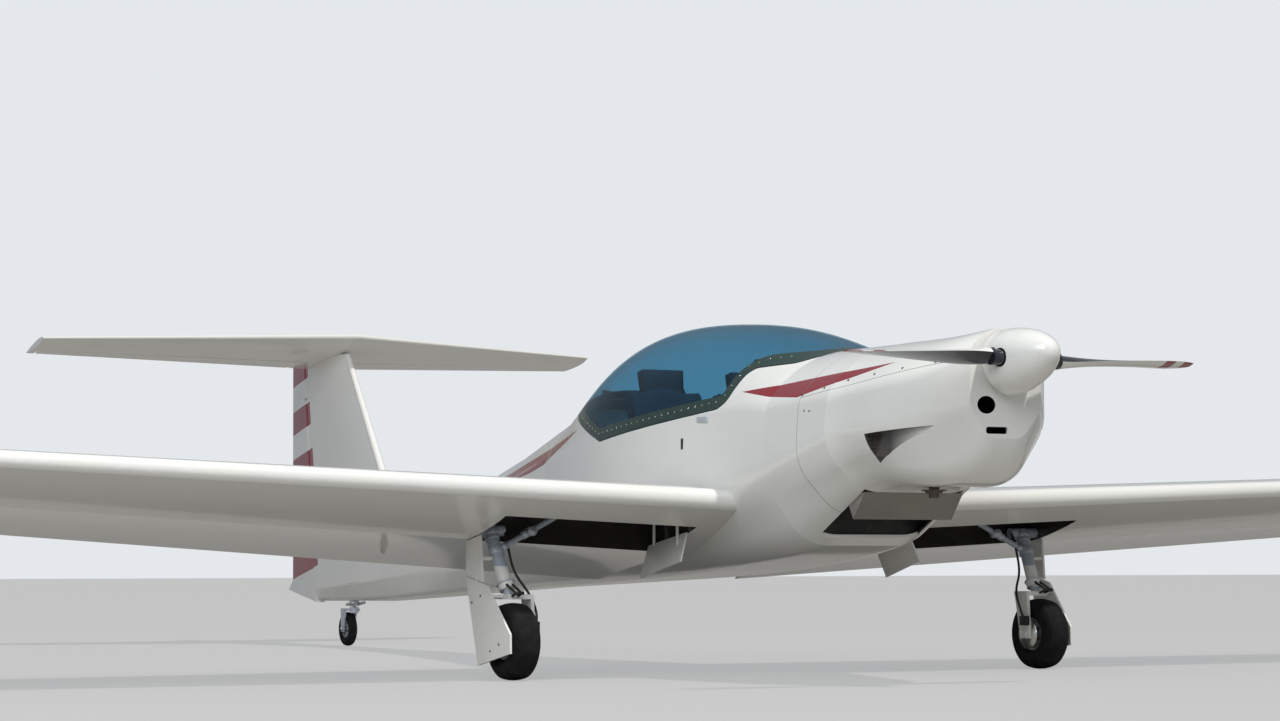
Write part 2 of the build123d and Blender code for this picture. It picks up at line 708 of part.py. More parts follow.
def wing_box(section, low, high, mode=Mode.ADD):
    """A box in a section's own frame: along the span from X to X, then chord and height."""
    x0, c0, h0 = low
    x1, c1, h1 = high
    start = x0 - section.plane.origin.X
    with BuildSketch(section.plane.offset(start)) as face:
        with Locations(((c0 + c1) / 2, (h0 + h1) / 2)):
            Rectangle(c1 - c0, h1 - h0)
    extrude(face.sketch, amount=x1 - x0, mode=mode)


with BuildPart() as inner_wing_form:
    loft([whole(wing_at(WING_START_X)), whole(wing_at(FOLD_X - RUN_GAP / 2))], ruled=True)

brake_chord = BRAKE_SHARE * brake_section.chord
brake_top = heights(brake_section, BRAKE_SHARE)[0]
brake_floor = brake_top - BRAKE_DEPTH


def brake_slot(grow, deeper):
    """The airbrake's outline: a cap strip over a thinner blade, grown for the slot."""
    cap, blade = BRAKE_CAP_WIDTH / 2 + grow, BRAKE_BLADE_WIDTH / 2 + grow
    high = brake_top + 60
    with BuildPart() as form:
        wing_box(
            brake_section,
            (BRAKE_IN_X - grow, brake_chord - cap, brake_top - BRAKE_CAP_DEPTH - 10 - grow),
            (BRAKE_OUT_X + grow, brake_chord + cap, high),
        )
        wing_box(
            brake_section,
            (BRAKE_IN_X - grow, brake_chord - blade, brake_floor - deeper),
            (BRAKE_OUT_X + grow, brake_chord + blade, high),
        )
    return form.part


with BuildPart() as airbrake_left:
    add(inner_wing_form.part)
    add(brake_slot(0, 0), mode=Mode.INTERSECT)
write_pair(airbrake_left, "airbrake")

# Fold hinge: eyes at two stations along the chord, above the top surface
FOLD_AXIS_LIFT = 18
FOLD_SHARES = (0.28, 0.50)
FOLD_EYE_RADIUS = 12
FOLD_EYE_WIDTH = 16
FOLD_PIN_RADIUS = 5
fold_section = wing_at(FOLD_X)
FOLD_AXIS_HEIGHT = fold_section.chord * WING_PROFILE["top_front"][2][1] + FOLD_AXIS_LIFT


def fold_eye(share, shift, way):
    """One hinge eye on the inner or outer panel: a round end hulled to a foot in the skin."""
    place = fold_section.chord * share + shift
    start = fold_section.plane.from_local_coords(Vector(place, FOLD_AXIS_HEIGHT, 0))
    chordwise = fold_section.plane.x_dir
    with BuildSketch(Plane(start, x_dir=(1, 0, 0), z_dir=chordwise)) as face:
        up = -1 if Plane(start, x_dir=(1, 0, 0), z_dir=chordwise).y_dir.Z < 0 else 1
        Circle(FOLD_EYE_RADIUS)
        with Locations((way * 34, -up * (FOLD_AXIS_LIFT + 12))):
            Rectangle(36, 24)
        make_hull()
    extrude(face.sketch, amount=FOLD_EYE_WIDTH)


def fold_pin(share, radius, mode):
    start = fold_section.chord * share - 2
    stop = start + 2 * FOLD_EYE_WIDTH + 5
    local = fold_section.plane.from_local_coords
    bar(local(Vector(start, FOLD_AXIS_HEIGHT, 0)), local(Vector(stop, FOLD_AXIS_HEIGHT, 0)), radius, mode)


with BuildPart() as inner_wing_left:
    add(inner_wing_form.part)
    for share in FOLD_SHARES:
        fold_eye(share, 0, -1)
    add(body_form, mode=Mode.SUBTRACT)
    wing_box(
        well_section,
        (WELL_IN_X, WELL_FRONT, -400),
        (WELL_OUT_X, WELL_REAR, WELL_ROOF),
        Mode.SUBTRACT,
    )
    add(brake_slot(RUN_GAP, SEAT_GAP), mode=Mode.SUBTRACT)
    with BuildSketch(lengthwise(TIE_DOWN_X - TIE_DOWN_WIDTH / 2)) as eye:
        with Locations((aft(TIE_DOWN_STATION), TIE_DOWN_Z)):
            Circle(17)
        with Locations((aft(TIE_DOWN_STATION) - 10, TIE_DOWN_Z + 34)):
            Rectangle(60, 16)
        make_hull()
    extrude(eye.sketch, amount=TIE_DOWN_WIDTH)
    tie_down = (aft(TIE_DOWN_STATION), TIE_DOWN_Z)
    bar((TIE_DOWN_X - 20, *tie_down), (TIE_DOWN_X + 20, *tie_down), TIE_DOWN_BORE, Mode.SUBTRACT)
    for share in FOLD_SHARES:
        fold_pin(share, FOLD_PIN_RADIUS, Mode.ADD)
write_pair(inner_wing_left, "inner_wing")

# Outer wing with its aileron
AILERON_HINGE = 0.75
AILERON_IN_X = 5260
AILERON_OUT_X = 8380
HINGE_PIN_RADIUS = 5
HINGE_PIN_LENGTH = 24
aileron_in, aileron_out = wing_at(AILERON_IN_X), wing_at(AILERON_OUT_X)
aileron_pins = (hinge_point(aileron_in, AILERON_HINGE), hinge_point(aileron_out, AILERON_HINGE))
END_GAP = 14


def end_pins(points, grow, mode):
    """Pins at both ends of a hinge line, or their bores when grown."""
    for start, stop in (points, points[::-1]):
        along = (stop - start).normalized()
        bar(start - along * (END_GAP + 4), start + along * HINGE_PIN_LENGTH, HINGE_PIN_RADIUS + grow, mode)


with BuildPart() as aileron_left:
    loft([behind(aileron_in, AILERON_HINGE), behind(aileron_out, AILERON_HINGE)], ruled=True)
    end_pins(aileron_pins, PIN_CLEARANCE, Mode.SUBTRACT)
write_pair(aileron_left, "aileron")

with BuildPart() as outer_wing_left:
    loft([whole(wing_at(FOLD_X + RUN_GAP / 2)), whole(wing_at(TIP_X))], ruled=True)
    tip = wing_at(TIP_X)
    cap = wing_at(TIP_X + TIP_CAP)
    small_plane = Plane(
        spot(cap, 0.16, cap.chord * 0.022), x_dir=cap.plane.x_dir, z_dir=cap.plane.z_dir
    )
    loft([whole(tip), whole(Section(small_plane, cap.chord * 0.70, WING_PROFILE))], ruled=True)
    for share in FOLD_SHARES:
        fold_eye(share, FOLD_EYE_WIDTH + 1, 1)
        fold_pin(share, FOLD_PIN_RADIUS + PIN_CLEARANCE, Mode.SUBTRACT)
    loft(
        [
            cove(wing_at(AILERON_IN_X - END_GAP), AILERON_HINGE),
            cove(wing_at(AILERON_OUT_X + END_GAP), AILERON_HINGE),
        ],
        ruled=True,
        mode=Mode.SUBTRACT,
    )
    end_pins(aileron_pins, 0, Mode.ADD)
write_pair(outer_wing_left, "outer_wing")

# Tailplane on top of the fin, with its elevators
TAIL_ANGLE = 12
TAIL_LEAD_STATION = 4843
TAIL_LEAD_Z = 1842
TAIL_CHORD = 745
TAIL_TAPER = 0.230
TAIL_SWEEP = 0.265
TAIL_RISE = -0.0235
TAIL_HALF_SPAN = 1790
ELEVATOR_HINGE = 0.70
ELEVATOR_IN_X = 170
ELEVATOR_OUT_X = 1735


def tail_at(x):
    """The tailplane section at one span station."""
    turn = radians(TAIL_ANGLE)
    lead = (x, aft(TAIL_LEAD_STATION) + TAIL_SWEEP * x, TAIL_LEAD_Z + TAIL_RISE * x)
    plane = Plane(lead, x_dir=(0, cos(turn), -sin(turn)), z_dir=(1, 0, 0))
    return Section(plane, TAIL_CHORD - TAIL_TAPER * x, TAIL_PROFILE)


elevator_in, elevator_out = tail_at(ELEVATOR_IN_X), tail_at(ELEVATOR_OUT_X)
elevator_pins = (hinge_point(elevator_in, ELEVATOR_HINGE), hinge_point(elevator_out, ELEVATOR_HINGE))
with BuildPart() as elevator_left:
    loft([behind(elevator_in, ELEVATOR_HINGE), behind(elevator_out, ELEVATOR_HINGE)], ruled=True)
    end_pins(elevator_pins, PIN_CLEARANCE, Mode.SUBTRACT)
write_pair(elevator_left, "elevator")

with BuildPart() as tailplane_half:
    loft([whole(tail_at(0)), whole(tail_at(TAIL_HALF_SPAN))], ruled=True)
    loft(
        [
            cove(tail_at(ELEVATOR_IN_X - END_GAP), ELEVATOR_HINGE),
            cove(tail_at(ELEVATOR_OUT_X + END_GAP), ELEVATOR_HINGE),
        ],
        ruled=True,
        mode=Mode.SUBTRACT,
    )
    end_pins(elevator_pins, 0, Mode.ADD)
with BuildPart() as tailplane:
    add(tailplane_half.part)
    mirror(tailplane_half.part, about=Plane.YZ)
write(tailplane, "tailplane")

# Fin and rudder. Columns: height, then stations of leading edge, rudder hinge and trailing edge
FinRow = namedtuple("FinRow", "z lead hinge trail thin")
FIN_LOW = FinRow(560, 4129, 5465, 5850, 0.62)
FIN_HIGH = FinRow(1780, 5036, 5651, 5874, 0.95)
FIN_TOP_Z = 1747
FIN_FOOT_Z = 420
RUDDER_LOW_Z = 200
RUDDER_KNEE_Z = 385
RUDDER_HEEL = 215
RUDDER_BRACKETS = (760, 1500)
BRACKET_HALF = 3
RUDDER_PIN_RADIUS = 5


def fin_row(z):
    """The fin's measures at one height."""
    share = (z - FIN_LOW.z) / (FIN_HIGH.z - FIN_LOW.z)
    return FinRow(*[low + (high - low) * share for low, high in zip(FIN_LOW, FIN_HIGH)])


def fin_at(z, further=0):
    """The fin section at one height, with its trailing edge moved further aft if asked."""
    row = fin_row(z)
    plane = Plane((0, aft(row.lead), z), x_dir=(0, 1, 0), z_dir=(0, 0, 1))
    thin = row.thin * (row.trail - row.hinge) / (row.trail + further - row.hinge)
    return Section(plane, row.trail + further - row.lead, TAIL_PROFILE, thin)


def rudder_share(z, further=0):
    row = fin_row(z)
    return (row.hinge - row.lead) / (row.trail + further - row.lead)


def rudder_hinge(z):
    return Vector(0, aft(fin_row(z).hinge), z)


rudder_up = (rudder_hinge(FIN_TOP_Z) - rudder_hinge(RUDDER_LOW_Z)).normalized()
room_low, room_high = [
    rudder_hinge(z) - Vector(0, heights(fin_at(z), rudder_share(z))[0] + RUN_GAP, 0)
    for z in (RUDDER_LOW_Z, FIN_TOP_Z)
]
rudder_room = Plane(room_low, z_dir=Vector(1, 0, 0).cross(room_high - room_low))

with BuildPart() as fin:
    loft([whole(fin_at(FIN_FOOT_Z)), whole(fin_at(FIN_TOP_Z))], ruled=True)
    add(body_form, mode=Mode.SUBTRACT)
    split(bisect_by=rudder_room, keep=Keep.TOP)
    plate(-80, [(4600, 1894), (5340, 1736), (5340, 2000), (4600, 2000)], 160, Mode.SUBTRACT)
    add(tailplane.part, mode=Mode.SUBTRACT)
    for z in RUDDER_BRACKETS:
        pivot = rudder_hinge(z)
        block((-10, pivot.Y - 60, z - BRACKET_HALF), (10, pivot.Y + 8, z + BRACKET_HALF))
        bar(pivot - rudder_up * 18, pivot + rudder_up * 18, RUDDER_PIN_RADIUS)
write(fin, "fin")

with BuildPart() as rudder:
    rudder_rows = [(RUDDER_LOW_Z, RUDDER_HEEL), (RUDDER_KNEE_Z, 0), (FIN_TOP_Z, 0)]
    loft([behind(fin_at(*row), rudder_share(*row)) for row in rudder_rows], ruled=True)
    plate(-80, [(5350, 248), (6200, 365), (6200, 100), (5350, 100)], 160, Mode.SUBTRACT)
    for z in RUDDER_BRACKETS:
        pivot = rudder_hinge(z)
        slot = BRACKET_HALF + RUN_GAP
        block((-90, pivot.Y - 90, z - slot), (90, pivot.Y + 20, z + slot), Mode.SUBTRACT)
        reach = rudder_up * 22
        bar(pivot - reach, pivot + reach, RUDDER_PIN_RADIUS + PIN_CLEARANCE, Mode.SUBTRACT)
write(rudder, "rudder")

with BuildPart() as tail_boom:
    add(body_form)
    split(bisect_by=cabin_cut, keep=Keep.TOP)
    split(bisect_by=rudder_room, keep=Keep.TOP)
write(tail_boom, "tail_boom")

# Wheels: a tyre and a hub each, turned about the axle
Wheel = namedtuple("Wheel", "radius half_width rim_radius rim_half bore hub_half")
MAIN_WHEEL = Wheel(165, 65, 76, 46, 15, 58)
TAIL_WHEEL = Wheel(100, 25, 50, 17, 8, 22)
MAIN_X = 1390
MAIN_AXLE = (MAIN_X, aft(0), MAIN_WHEEL.radius)
TAIL_AXLE = (0, aft(4990), TAIL_WHEEL.radius)
LEG_TOP = Vector(1418, aft(180), 648)
LEG_LOW = Vector(1395, aft(50), 390)
LEG_RADIUS = 29


def tyre_at(axle, wheel):
    """A tyre with rounded shoulders about an axle along X."""
    x, y, z = axle
    side_radius = (wheel.rim_radius + wheel.radius) / 2
    shoulder = (wheel.half_width * 0.72, wheel.radius * 0.955)
    with BuildPart() as form:
        with BuildSketch(Plane((x, y, z), x_dir=(1, 0, 0), z_dir=(0, -1, 0))) as half:
            with BuildLine():
                Line((wheel.rim_half, wheel.rim_radius), (-wheel.rim_half, wheel.rim_radius))
                for side in (-1, 1):
                    bead = (side * wheel.rim_half, wheel.rim_radius)
                    crest = (side * shoulder[0], shoulder[1])
                    ThreePointArc(bead, (side * wheel.half_width, side_radius), crest)
                ThreePointArc((-shoulder[0], shoulder[1]), (0, wheel.radius), shoulder)
            make_face()
        revolve(half.sketch, axis=Axis((x, y, z), (1, 0, 0)))
    return form


def hub_at(axle, wheel):
    """A dished hub inside the tyre, bored for the axle."""
    x, y, z = axle
    rim = wheel.rim_radius - SEAT_GAP
    with BuildPart() as form:
        bar((x - wheel.hub_half, y, z), (x + wheel.hub_half, y, z), wheel.bore * 2)
        bar((x - wheel.rim_half, y, z), (x + wheel.rim_half, y, z), rim)
        for side in (-1, 1):
            inner = x + side * wheel.rim_half * 0.45
            bar((inner, y, z), (x + side * (wheel.rim_half + 1), y, z), rim * 0.84, Mode.SUBTRACT)
        bar((x - wheel.hub_half, y, z), (x + wheel.hub_half, y, z), wheel.bore * 2)
        bar((x - 200, y, z), (x + 200, y, z), wheel.bore + PIN_CLEARANCE, Mode.SUBTRACT)
    return form


write_pair(tyre_at(MAIN_AXLE, MAIN_WHEEL), "main_tyre")
write_pair(hub_at(MAIN_AXLE, MAIN_WHEEL), "main_hub")
write(tyre_at(TAIL_AXLE, TAIL_WHEEL), "tail_tyre")
write(hub_at(TAIL_AXLE, TAIL_WHEEL), "tail_hub")

# Main gear leg: a tube from the well with a trunnion, a piston, a crown and one inner fork arm
ARM_IN_X = 1301
ARM_OUT_X = 1315
CROWN_LOW_Z = 345
CROWN_HIGH_Z = 365
CROWN_OUT_X = 1420
along_leg = (LEG_LOW - LEG_TOP).normalized()
CROWN_JOIN = LEG_LOW + along_leg * 36
BRACE_FOOT = Vector(1000, aft(150), 760)
with BuildPart() as gear_leg_left:
    bar(LEG_TOP, LEG_LOW, LEG_RADIUS)
    bar(LEG_LOW - along_leg * 30, LEG_LOW + along_leg * 6, LEG_RADIUS + 6)
    bar(LEG_LOW, CROWN_JOIN, 20)
    bar((1350, LEG_TOP.Y, LEG_TOP.Z - 8), (WELL_OUT_X - SEAT_GAP, LEG_TOP.Y, LEG_TOP.Z - 8), 24)
    bar(LEG_TOP + along_leg * 110, BRACE_FOOT, 13)
    wing_box(
        well_section,
        (WELL_IN_X, WELL_FRONT, WELL_ROOF - SEAT_GAP),
        (WELL_OUT_X, WELL_REAR, 300),
        Mode.SUBTRACT,
    )
    block((ARM_IN_X, aft(-20), CROWN_LOW_Z), (CROWN_OUT_X, aft(80), CROWN_HIGH_Z))
    arm = [(-34, 145), (-20, CROWN_HIGH_Z), (80, CROWN_HIGH_Z), (34, 145)]
    plate(ARM_IN_X, arm, ARM_OUT_X - ARM_IN_X)
    bar((ARM_IN_X - 8, aft(0), MAIN_AXLE[2]), (MAIN_X + 62, aft(0), MAIN_AXLE[2]), MAIN_WHEEL.bore)
write_pair(gear_leg_left, "gear_leg")

# Doors: two on the leg outside the wheel, one slanted at the well's inner wall
DOOR_THICK = 10
DOOR_IN_X = 1497
DOOR_REAR = 225
DOOR_TURN = 5.5
UPPER_DOOR = [(110, 620), (225, 594), (228, 450), (92, 420)]
LOWER_DOOR = [(52, 405), (222, 442), (120, 62), (-140, 118), (-138, 200)]
WELL_DOOR = [(-90, 0), (215, 62), (200, 215), (-115, 135)]
UPPER_BRACKET_Z = 520
turn = radians(DOOR_TURN)
with BuildPart() as leg_doors_left:
    for outline, step in ((UPPER_DOOR, 0), (LOWER_DOOR, 3)):
        rear_edge = (DOOR_IN_X + step, aft(DOOR_REAR), 0)
        side = Plane(rear_edge, x_dir=(sin(turn), cos(turn), 0), z_dir=(cos(turn), -sin(turn), 0))
        with BuildSketch(side) as door:
            Polygon(*[(s - DOOR_REAR, z) for s, z in outline], align=None)
        extrude(door.sketch, amount=DOOR_THICK)
    bar((DOOR_IN_X - 2, aft(140), 380), (DOOR_IN_X - 2, aft(140), 460), 5)
    fall = LEG_TOP + along_leg * ((LEG_TOP.Z - UPPER_BRACKET_Z) / -along_leg.Z)
    bar((fall.X + LEG_RADIUS + 1.5, fall.Y, fall.Z), (DOOR_IN_X - 5, fall.Y, fall.Z), 11)
    bar((CROWN_OUT_X + SEAT_GAP, aft(50), 355), (DOOR_IN_X - 8, aft(50), 355), 9)
write_pair(leg_doors_left, "leg_doors")

with BuildPart() as well_door_left:
    slant = Plane((WELL_IN_X + 6, aft(0), 632), x_dir=(0, 1, 0), z_dir=(0.94, 0, 0.34))
    down = 1 if slant.y_dir.Z < 0 else -1
    with BuildSketch(slant) as outline:
        Polygon(*[(s, down * fall) for s, fall in WELL_DOOR], align=None)
    extrude(outline.sketch, amount=8)
    for station in (-40, 170):
        start = slant.from_local_coords(Vector(station, down * 60, 4))
        bar(start, start + Vector(0, 0, 400), 7)
    wing_box(
        well_section,
        (WELL_IN_X, 0, WELL_ROOF - SEAT_GAP),
        (WELL_OUT_X, 1200, 500),
        Mode.SUBTRACT,
    )
write_pair(well_door_left, "well_door")

# Tail wheel: a fixed post, and a fork that steers about it
STEER_STATION = 4900
STEER_PIN_RADIUS = 10
FORK_HEAD_LOW = 196
FORK_HEAD_HIGH = 232
ARM_GAP_X = 31
with BuildPart() as tail_wheel_post:
    bar((0, aft(STEER_STATION), FORK_HEAD_HIGH + RUN_GAP), (0, aft(STEER_STATION), 330), 30)
    bar((0, aft(STEER_STATION), FORK_HEAD_LOW + 2), (0, aft(STEER_STATION), 300), STEER_PIN_RADIUS)
    add(body_form, mode=Mode.SUBTRACT)
write(tail_wheel_post, "tail_wheel_post")

with BuildPart() as tail_fork:
    bar((0, aft(STEER_STATION), FORK_HEAD_LOW), (0, aft(STEER_STATION), FORK_HEAD_HIGH), 26)
    block((-ARM_GAP_X - 8, aft(STEER_STATION), 208), (ARM_GAP_X + 8, aft(5012), 222))
    for x in (-ARM_GAP_X - 8, ARM_GAP_X):
        plate(x, [(4940, 222), (5012, 222), (5008, 84), (4972, 84)], 8)
    bar((-ARM_GAP_X - 4, *TAIL_AXLE[1:]), (ARM_GAP_X + 4, *TAIL_AXLE[1:]), TAIL_WHEEL.bore)
    bore = STEER_PIN_RADIUS + PIN_CLEARANCE
    bar((0, aft(STEER_STATION), FORK_HEAD_LOW - 5), (0, aft(STEER_STATION), 400), bore, Mode.SUBTRACT)
write(tail_fork, "tail_fork")
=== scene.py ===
# %% [markdown]
# # Dressing a two-seat motor glider
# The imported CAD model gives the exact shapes. This lesson adds what makes them look real: paint with
# gloss and dirt, tinted glass, tyres, hoses, screws and the cockpit that shows through the canopy.
# Everything is in metres. +X is the aircraft's left, +Y runs to the tail and +Z is up.

# %% Load the CAD model as a fixed frame
import bpy
import bmesh
from math import cos, pi, radians, sin
from mathutils import Matrix, Vector
from mathutils.bvhtree import BVHTree


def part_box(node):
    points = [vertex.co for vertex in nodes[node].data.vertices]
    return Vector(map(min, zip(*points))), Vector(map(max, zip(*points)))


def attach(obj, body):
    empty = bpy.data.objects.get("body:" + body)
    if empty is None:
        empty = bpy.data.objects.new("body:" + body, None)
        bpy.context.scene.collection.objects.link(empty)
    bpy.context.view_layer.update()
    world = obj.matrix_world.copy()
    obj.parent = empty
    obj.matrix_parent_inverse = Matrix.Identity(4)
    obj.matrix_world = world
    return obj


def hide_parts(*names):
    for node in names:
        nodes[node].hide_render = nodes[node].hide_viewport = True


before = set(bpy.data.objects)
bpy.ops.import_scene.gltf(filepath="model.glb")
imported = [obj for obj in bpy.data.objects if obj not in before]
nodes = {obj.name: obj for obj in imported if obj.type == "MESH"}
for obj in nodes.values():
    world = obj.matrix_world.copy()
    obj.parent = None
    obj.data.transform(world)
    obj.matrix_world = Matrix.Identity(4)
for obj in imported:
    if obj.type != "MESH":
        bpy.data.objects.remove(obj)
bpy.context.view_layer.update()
AXLE_Y = -1.967  # the main wheels' axle, from which all stations are counted
print("loaded", len(nodes), "nodes")


def aft(station):
    """Turn a station in metres behind the main axle into a Y value."""
    return AXLE_Y + station


# %% [markdown]
# ## Camera
# A photograph fixes only the direction of view. The place, the turn and the lens below were found by
# fitting the wheels, the wing tips' line and the ground to the picture, so the model lands on it.

# %% Camera at the photograph's place
LENS = 83.4  # millimetres on a frame 36 wide
EYE = (-7.079, AXLE_Y - 11.395, 0.5204)
TILT_UP, TURN = 0.0666, -0.5056

scene = bpy.context.scene
camera_data = bpy.data.cameras.new("camera")
camera_data.lens = LENS
camera_data.sensor_width = 36
camera_data.clip_end = 400
camera = bpy.data.objects.new("camera", camera_data)
scene.collection.objects.link(camera)
camera.location = EYE
camera.rotation_euler = (pi / 2 + TILT_UP, 0, TURN)
scene.camera = camera
print("camera", [round(place, 3) for place in EYE])

# %% [markdown]
# ## Studio
# A pale floor takes the shadow, and a large soft key stands in for the sun on the photographed
# apron: high, from the aircraft's front left. White paint shows its form only by shade, so the fill
# stays well below the key and the world is a plain pale grey.

# %% Floor, world and lamps
FLOOR_SIZE = 60
FLOOR_COLOUR = (0.32, 0.31, 0.29)
FLOOR_SEEN = (0.74, 0.75, 0.76)
SEEN_SHARE = 0.55  # how much of the paler tone a view of the floor takes, with its shadow kept
SKY_COLOUR = (0.70, 0.76, 0.84)
SKY_STRENGTH = 0.42
BACKDROP = (0.78, 0.81, 0.84)

scene.view_settings.view_transform = "Standard"
floor_mesh = bpy.data.meshes.new("floor")
shape = bmesh.new()
bmesh.ops.create_grid(shape, x_segments=1, y_segments=1, size=FLOOR_SIZE)
shape.to_mesh(floor_mesh)
shape.free()
floor = bpy.data.objects.new("floor", floor_mesh)
scene.collection.objects.link(floor)


def new_material(name, colour, roughness, metallic=0.0):
    """A material with one Principled shader. Returns the material, its node tree and the shader."""
    made = bpy.data.materials.new(name)
    made.use_nodes = True
    shader = made.node_tree.nodes["Principled BSDF"]
    shader.inputs["Base Color"].default_value = (*colour, 1)
    shader.inputs["Roughness"].default_value = roughness
    shader.inputs["Metallic"].default_value = metallic
    return made, made.node_tree, shader


def chain(tree, kind, operation, *feeds):
    """Add a math node and feed its inputs from sockets or plain numbers. Returns its first output."""
    node = tree.nodes.new(kind)
    node.operation = operation
    for place, feed in zip(node.inputs, feeds):
        if isinstance(feed, bpy.types.NodeSocket):
            tree.links.new(feed, place)
        elif feed is not None:
            place.default_value = feed
    return node.outputs["Value"] if "Value" in node.outputs else node.outputs[0]


floor_material, floor_tree, floor_shader = new_material("studio_floor", FLOOR_COLOUR, 0.9)
lift = floor_tree.nodes.new("ShaderNodeEmission")
lift.inputs["Color"].default_value = (*FLOOR_SEEN, 1)
rays = floor_tree.nodes.new("ShaderNodeLightPath")
share = floor_tree.nodes.new("ShaderNodeMath")
share.operation = "MULTIPLY"
share.inputs[1].default_value = SEEN_SHARE
camera_ray, glass_ray = rays.outputs["Is Camera Ray"], rays.outputs["Is Transmission Ray"]
looked_at = chain(floor_tree, "ShaderNodeMath", "MAXIMUM", camera_ray, glass_ray)
floor_tree.links.new(looked_at, share.inputs[0])
blend_floor = floor_tree.nodes.new("ShaderNodeMixShader")
floor_tree.links.new(share.outputs[0], blend_floor.inputs["Fac"])
floor_tree.links.new(floor_shader.outputs[0], blend_floor.inputs[1])
floor_tree.links.new(lift.outputs[0], blend_floor.inputs[2])
floor_tree.links.new(blend_floor.outputs[0], floor_tree.nodes["Material Output"].inputs["Surface"])
floor_mesh.materials.append(floor_material)

world = bpy.data.worlds.new("studio")
world.use_nodes = True
scene.world = world
backdrop = world.node_tree.nodes["Background"]
backdrop.inputs["Color"].default_value = (*SKY_COLOUR, 1)
backdrop.inputs["Strength"].default_value = SKY_STRENGTH
seen = world.node_tree.nodes.new("ShaderNodeBackground")
seen.inputs["Color"].default_value = (*BACKDROP, 1)
seen.inputs["Strength"].default_value = 1.0
world_rays = world.node_tree.nodes.new("ShaderNodeLightPath")
either = world.node_tree.nodes.new("ShaderNodeMath")
either.operation = "MAXIMUM"
world_mix = world.node_tree.nodes.new("ShaderNodeMixShader")
world.node_tree.links.new(world_rays.outputs["Is Camera Ray"], either.inputs[0])
world.node_tree.links.new(world_rays.outputs["Is Transmission Ray"], either.inputs[1])
world.node_tree.links.new(either.outputs[0], world_mix.inputs["Fac"])
world.node_tree.links.new(backdrop.outputs[0], world_mix.inputs[1])
world.node_tree.links.new(seen.outputs[0], world_mix.inputs[2])
world.node_tree.links.new(world_mix.outputs[0], world.node_tree.nodes["World Output"].inputs["Surface"])


def lamp(name, kind, energy, place, target, size=1.0, colour=(1, 1, 1)):
    """A lamp at a place, turned to a target."""
    data = bpy.data.lights.new(name, kind)
    data.energy = energy
    data.color = colour
    if kind == "AREA":
        data.shape = "DISK"
        data.size = size
    else:
        data.angle = size
    made = bpy.data.objects.new(name, data)
    scene.collection.objects.link(made)
    made.location = place
    made.rotation_euler = (Vector(target) - Vector(place)).to_track_quat("-Z", "Y").to_euler()
    return made


lamp("sun", "SUN", 2.3, (2.5, -4.5, 9), (0, 0, 0), radians(3), (1.0, 0.97, 0.92))
lamp("sky_fill", "AREA", 900, (-9, -10, 8), (0, -1, 0.8), 9, (0.92, 0.96, 1.0))
print("studio ready")

# %% [markdown]
# ## Shared effects as node groups
# Paint schemes, seams and grime turn up on many pieces, so each effect is one node group with named
# inputs. A half-plane test on Object coordinates draws a crisp edge at any size, and a few of them
# multiplied draw a spear or a band, with no picture needed.

# %% Node groups
def group_of(name, inputs, outputs):
    """An empty node group with named sockets. Returns the group, its input node and output node."""
    made = bpy.data.node_groups.new(name, "ShaderNodeTree")
    for label, kind, value in inputs:
        socket = made.interface.new_socket(name=label, in_out="INPUT", socket_type=kind)
        if value is not None:
            socket.default_value = value
    for label, kind in outputs:
        made.interface.new_socket(name=label, in_out="OUTPUT", socket_type=kind)
    return made, made.nodes.new("NodeGroupInput"), made.nodes.new("NodeGroupOutput")


beyond, beyond_in, beyond_out = group_of(
    "beyond_line",
    [
        ("Position", "NodeSocketVector", None),
        ("Normal", "NodeSocketVector", (0, 0, 1)),
        ("Distance", "NodeSocketFloat", 0.0),
    ],
    [("Mask", "NodeSocketFloat")],
)
reach = beyond.nodes.new("ShaderNodeVectorMath")
reach.operation = "DOT_PRODUCT"
beyond.links.new(beyond_in.outputs["Position"], reach.inputs[0])
beyond.links.new(beyond_in.outputs["Normal"], reach.inputs[1])
over = chain(beyond, "ShaderNodeMath", "GREATER_THAN", reach.outputs["Value"], beyond_in.outputs["Distance"])
beyond.links.new(over, beyond_out.inputs["Mask"])

seam, seam_in, seam_out = group_of(
    "seam_line",
    [
        ("Position", "NodeSocketVector", None),
        ("Normal", "NodeSocketVector", (0, 0, 1)),
        ("Distance", "NodeSocketFloat", 0.0),
        ("Half Width", "NodeSocketFloat", 0.001),
    ],
    [("Mask", "NodeSocketFloat")],
)
along = seam.nodes.new("ShaderNodeVectorMath")
along.operation = "DOT_PRODUCT"
seam.links.new(seam_in.outputs["Position"], along.inputs[0])
seam.links.new(seam_in.outputs["Normal"], along.inputs[1])
apart = chain(seam, "ShaderNodeMath", "SUBTRACT", along.outputs["Value"], seam_in.outputs["Distance"])
apart = chain(seam, "ShaderNodeMath", "ABSOLUTE", apart)
near = chain(seam, "ShaderNodeMath", "LESS_THAN", apart, seam_in.outputs["Half Width"])
seam.links.new(near, seam_out.inputs["Mask"])

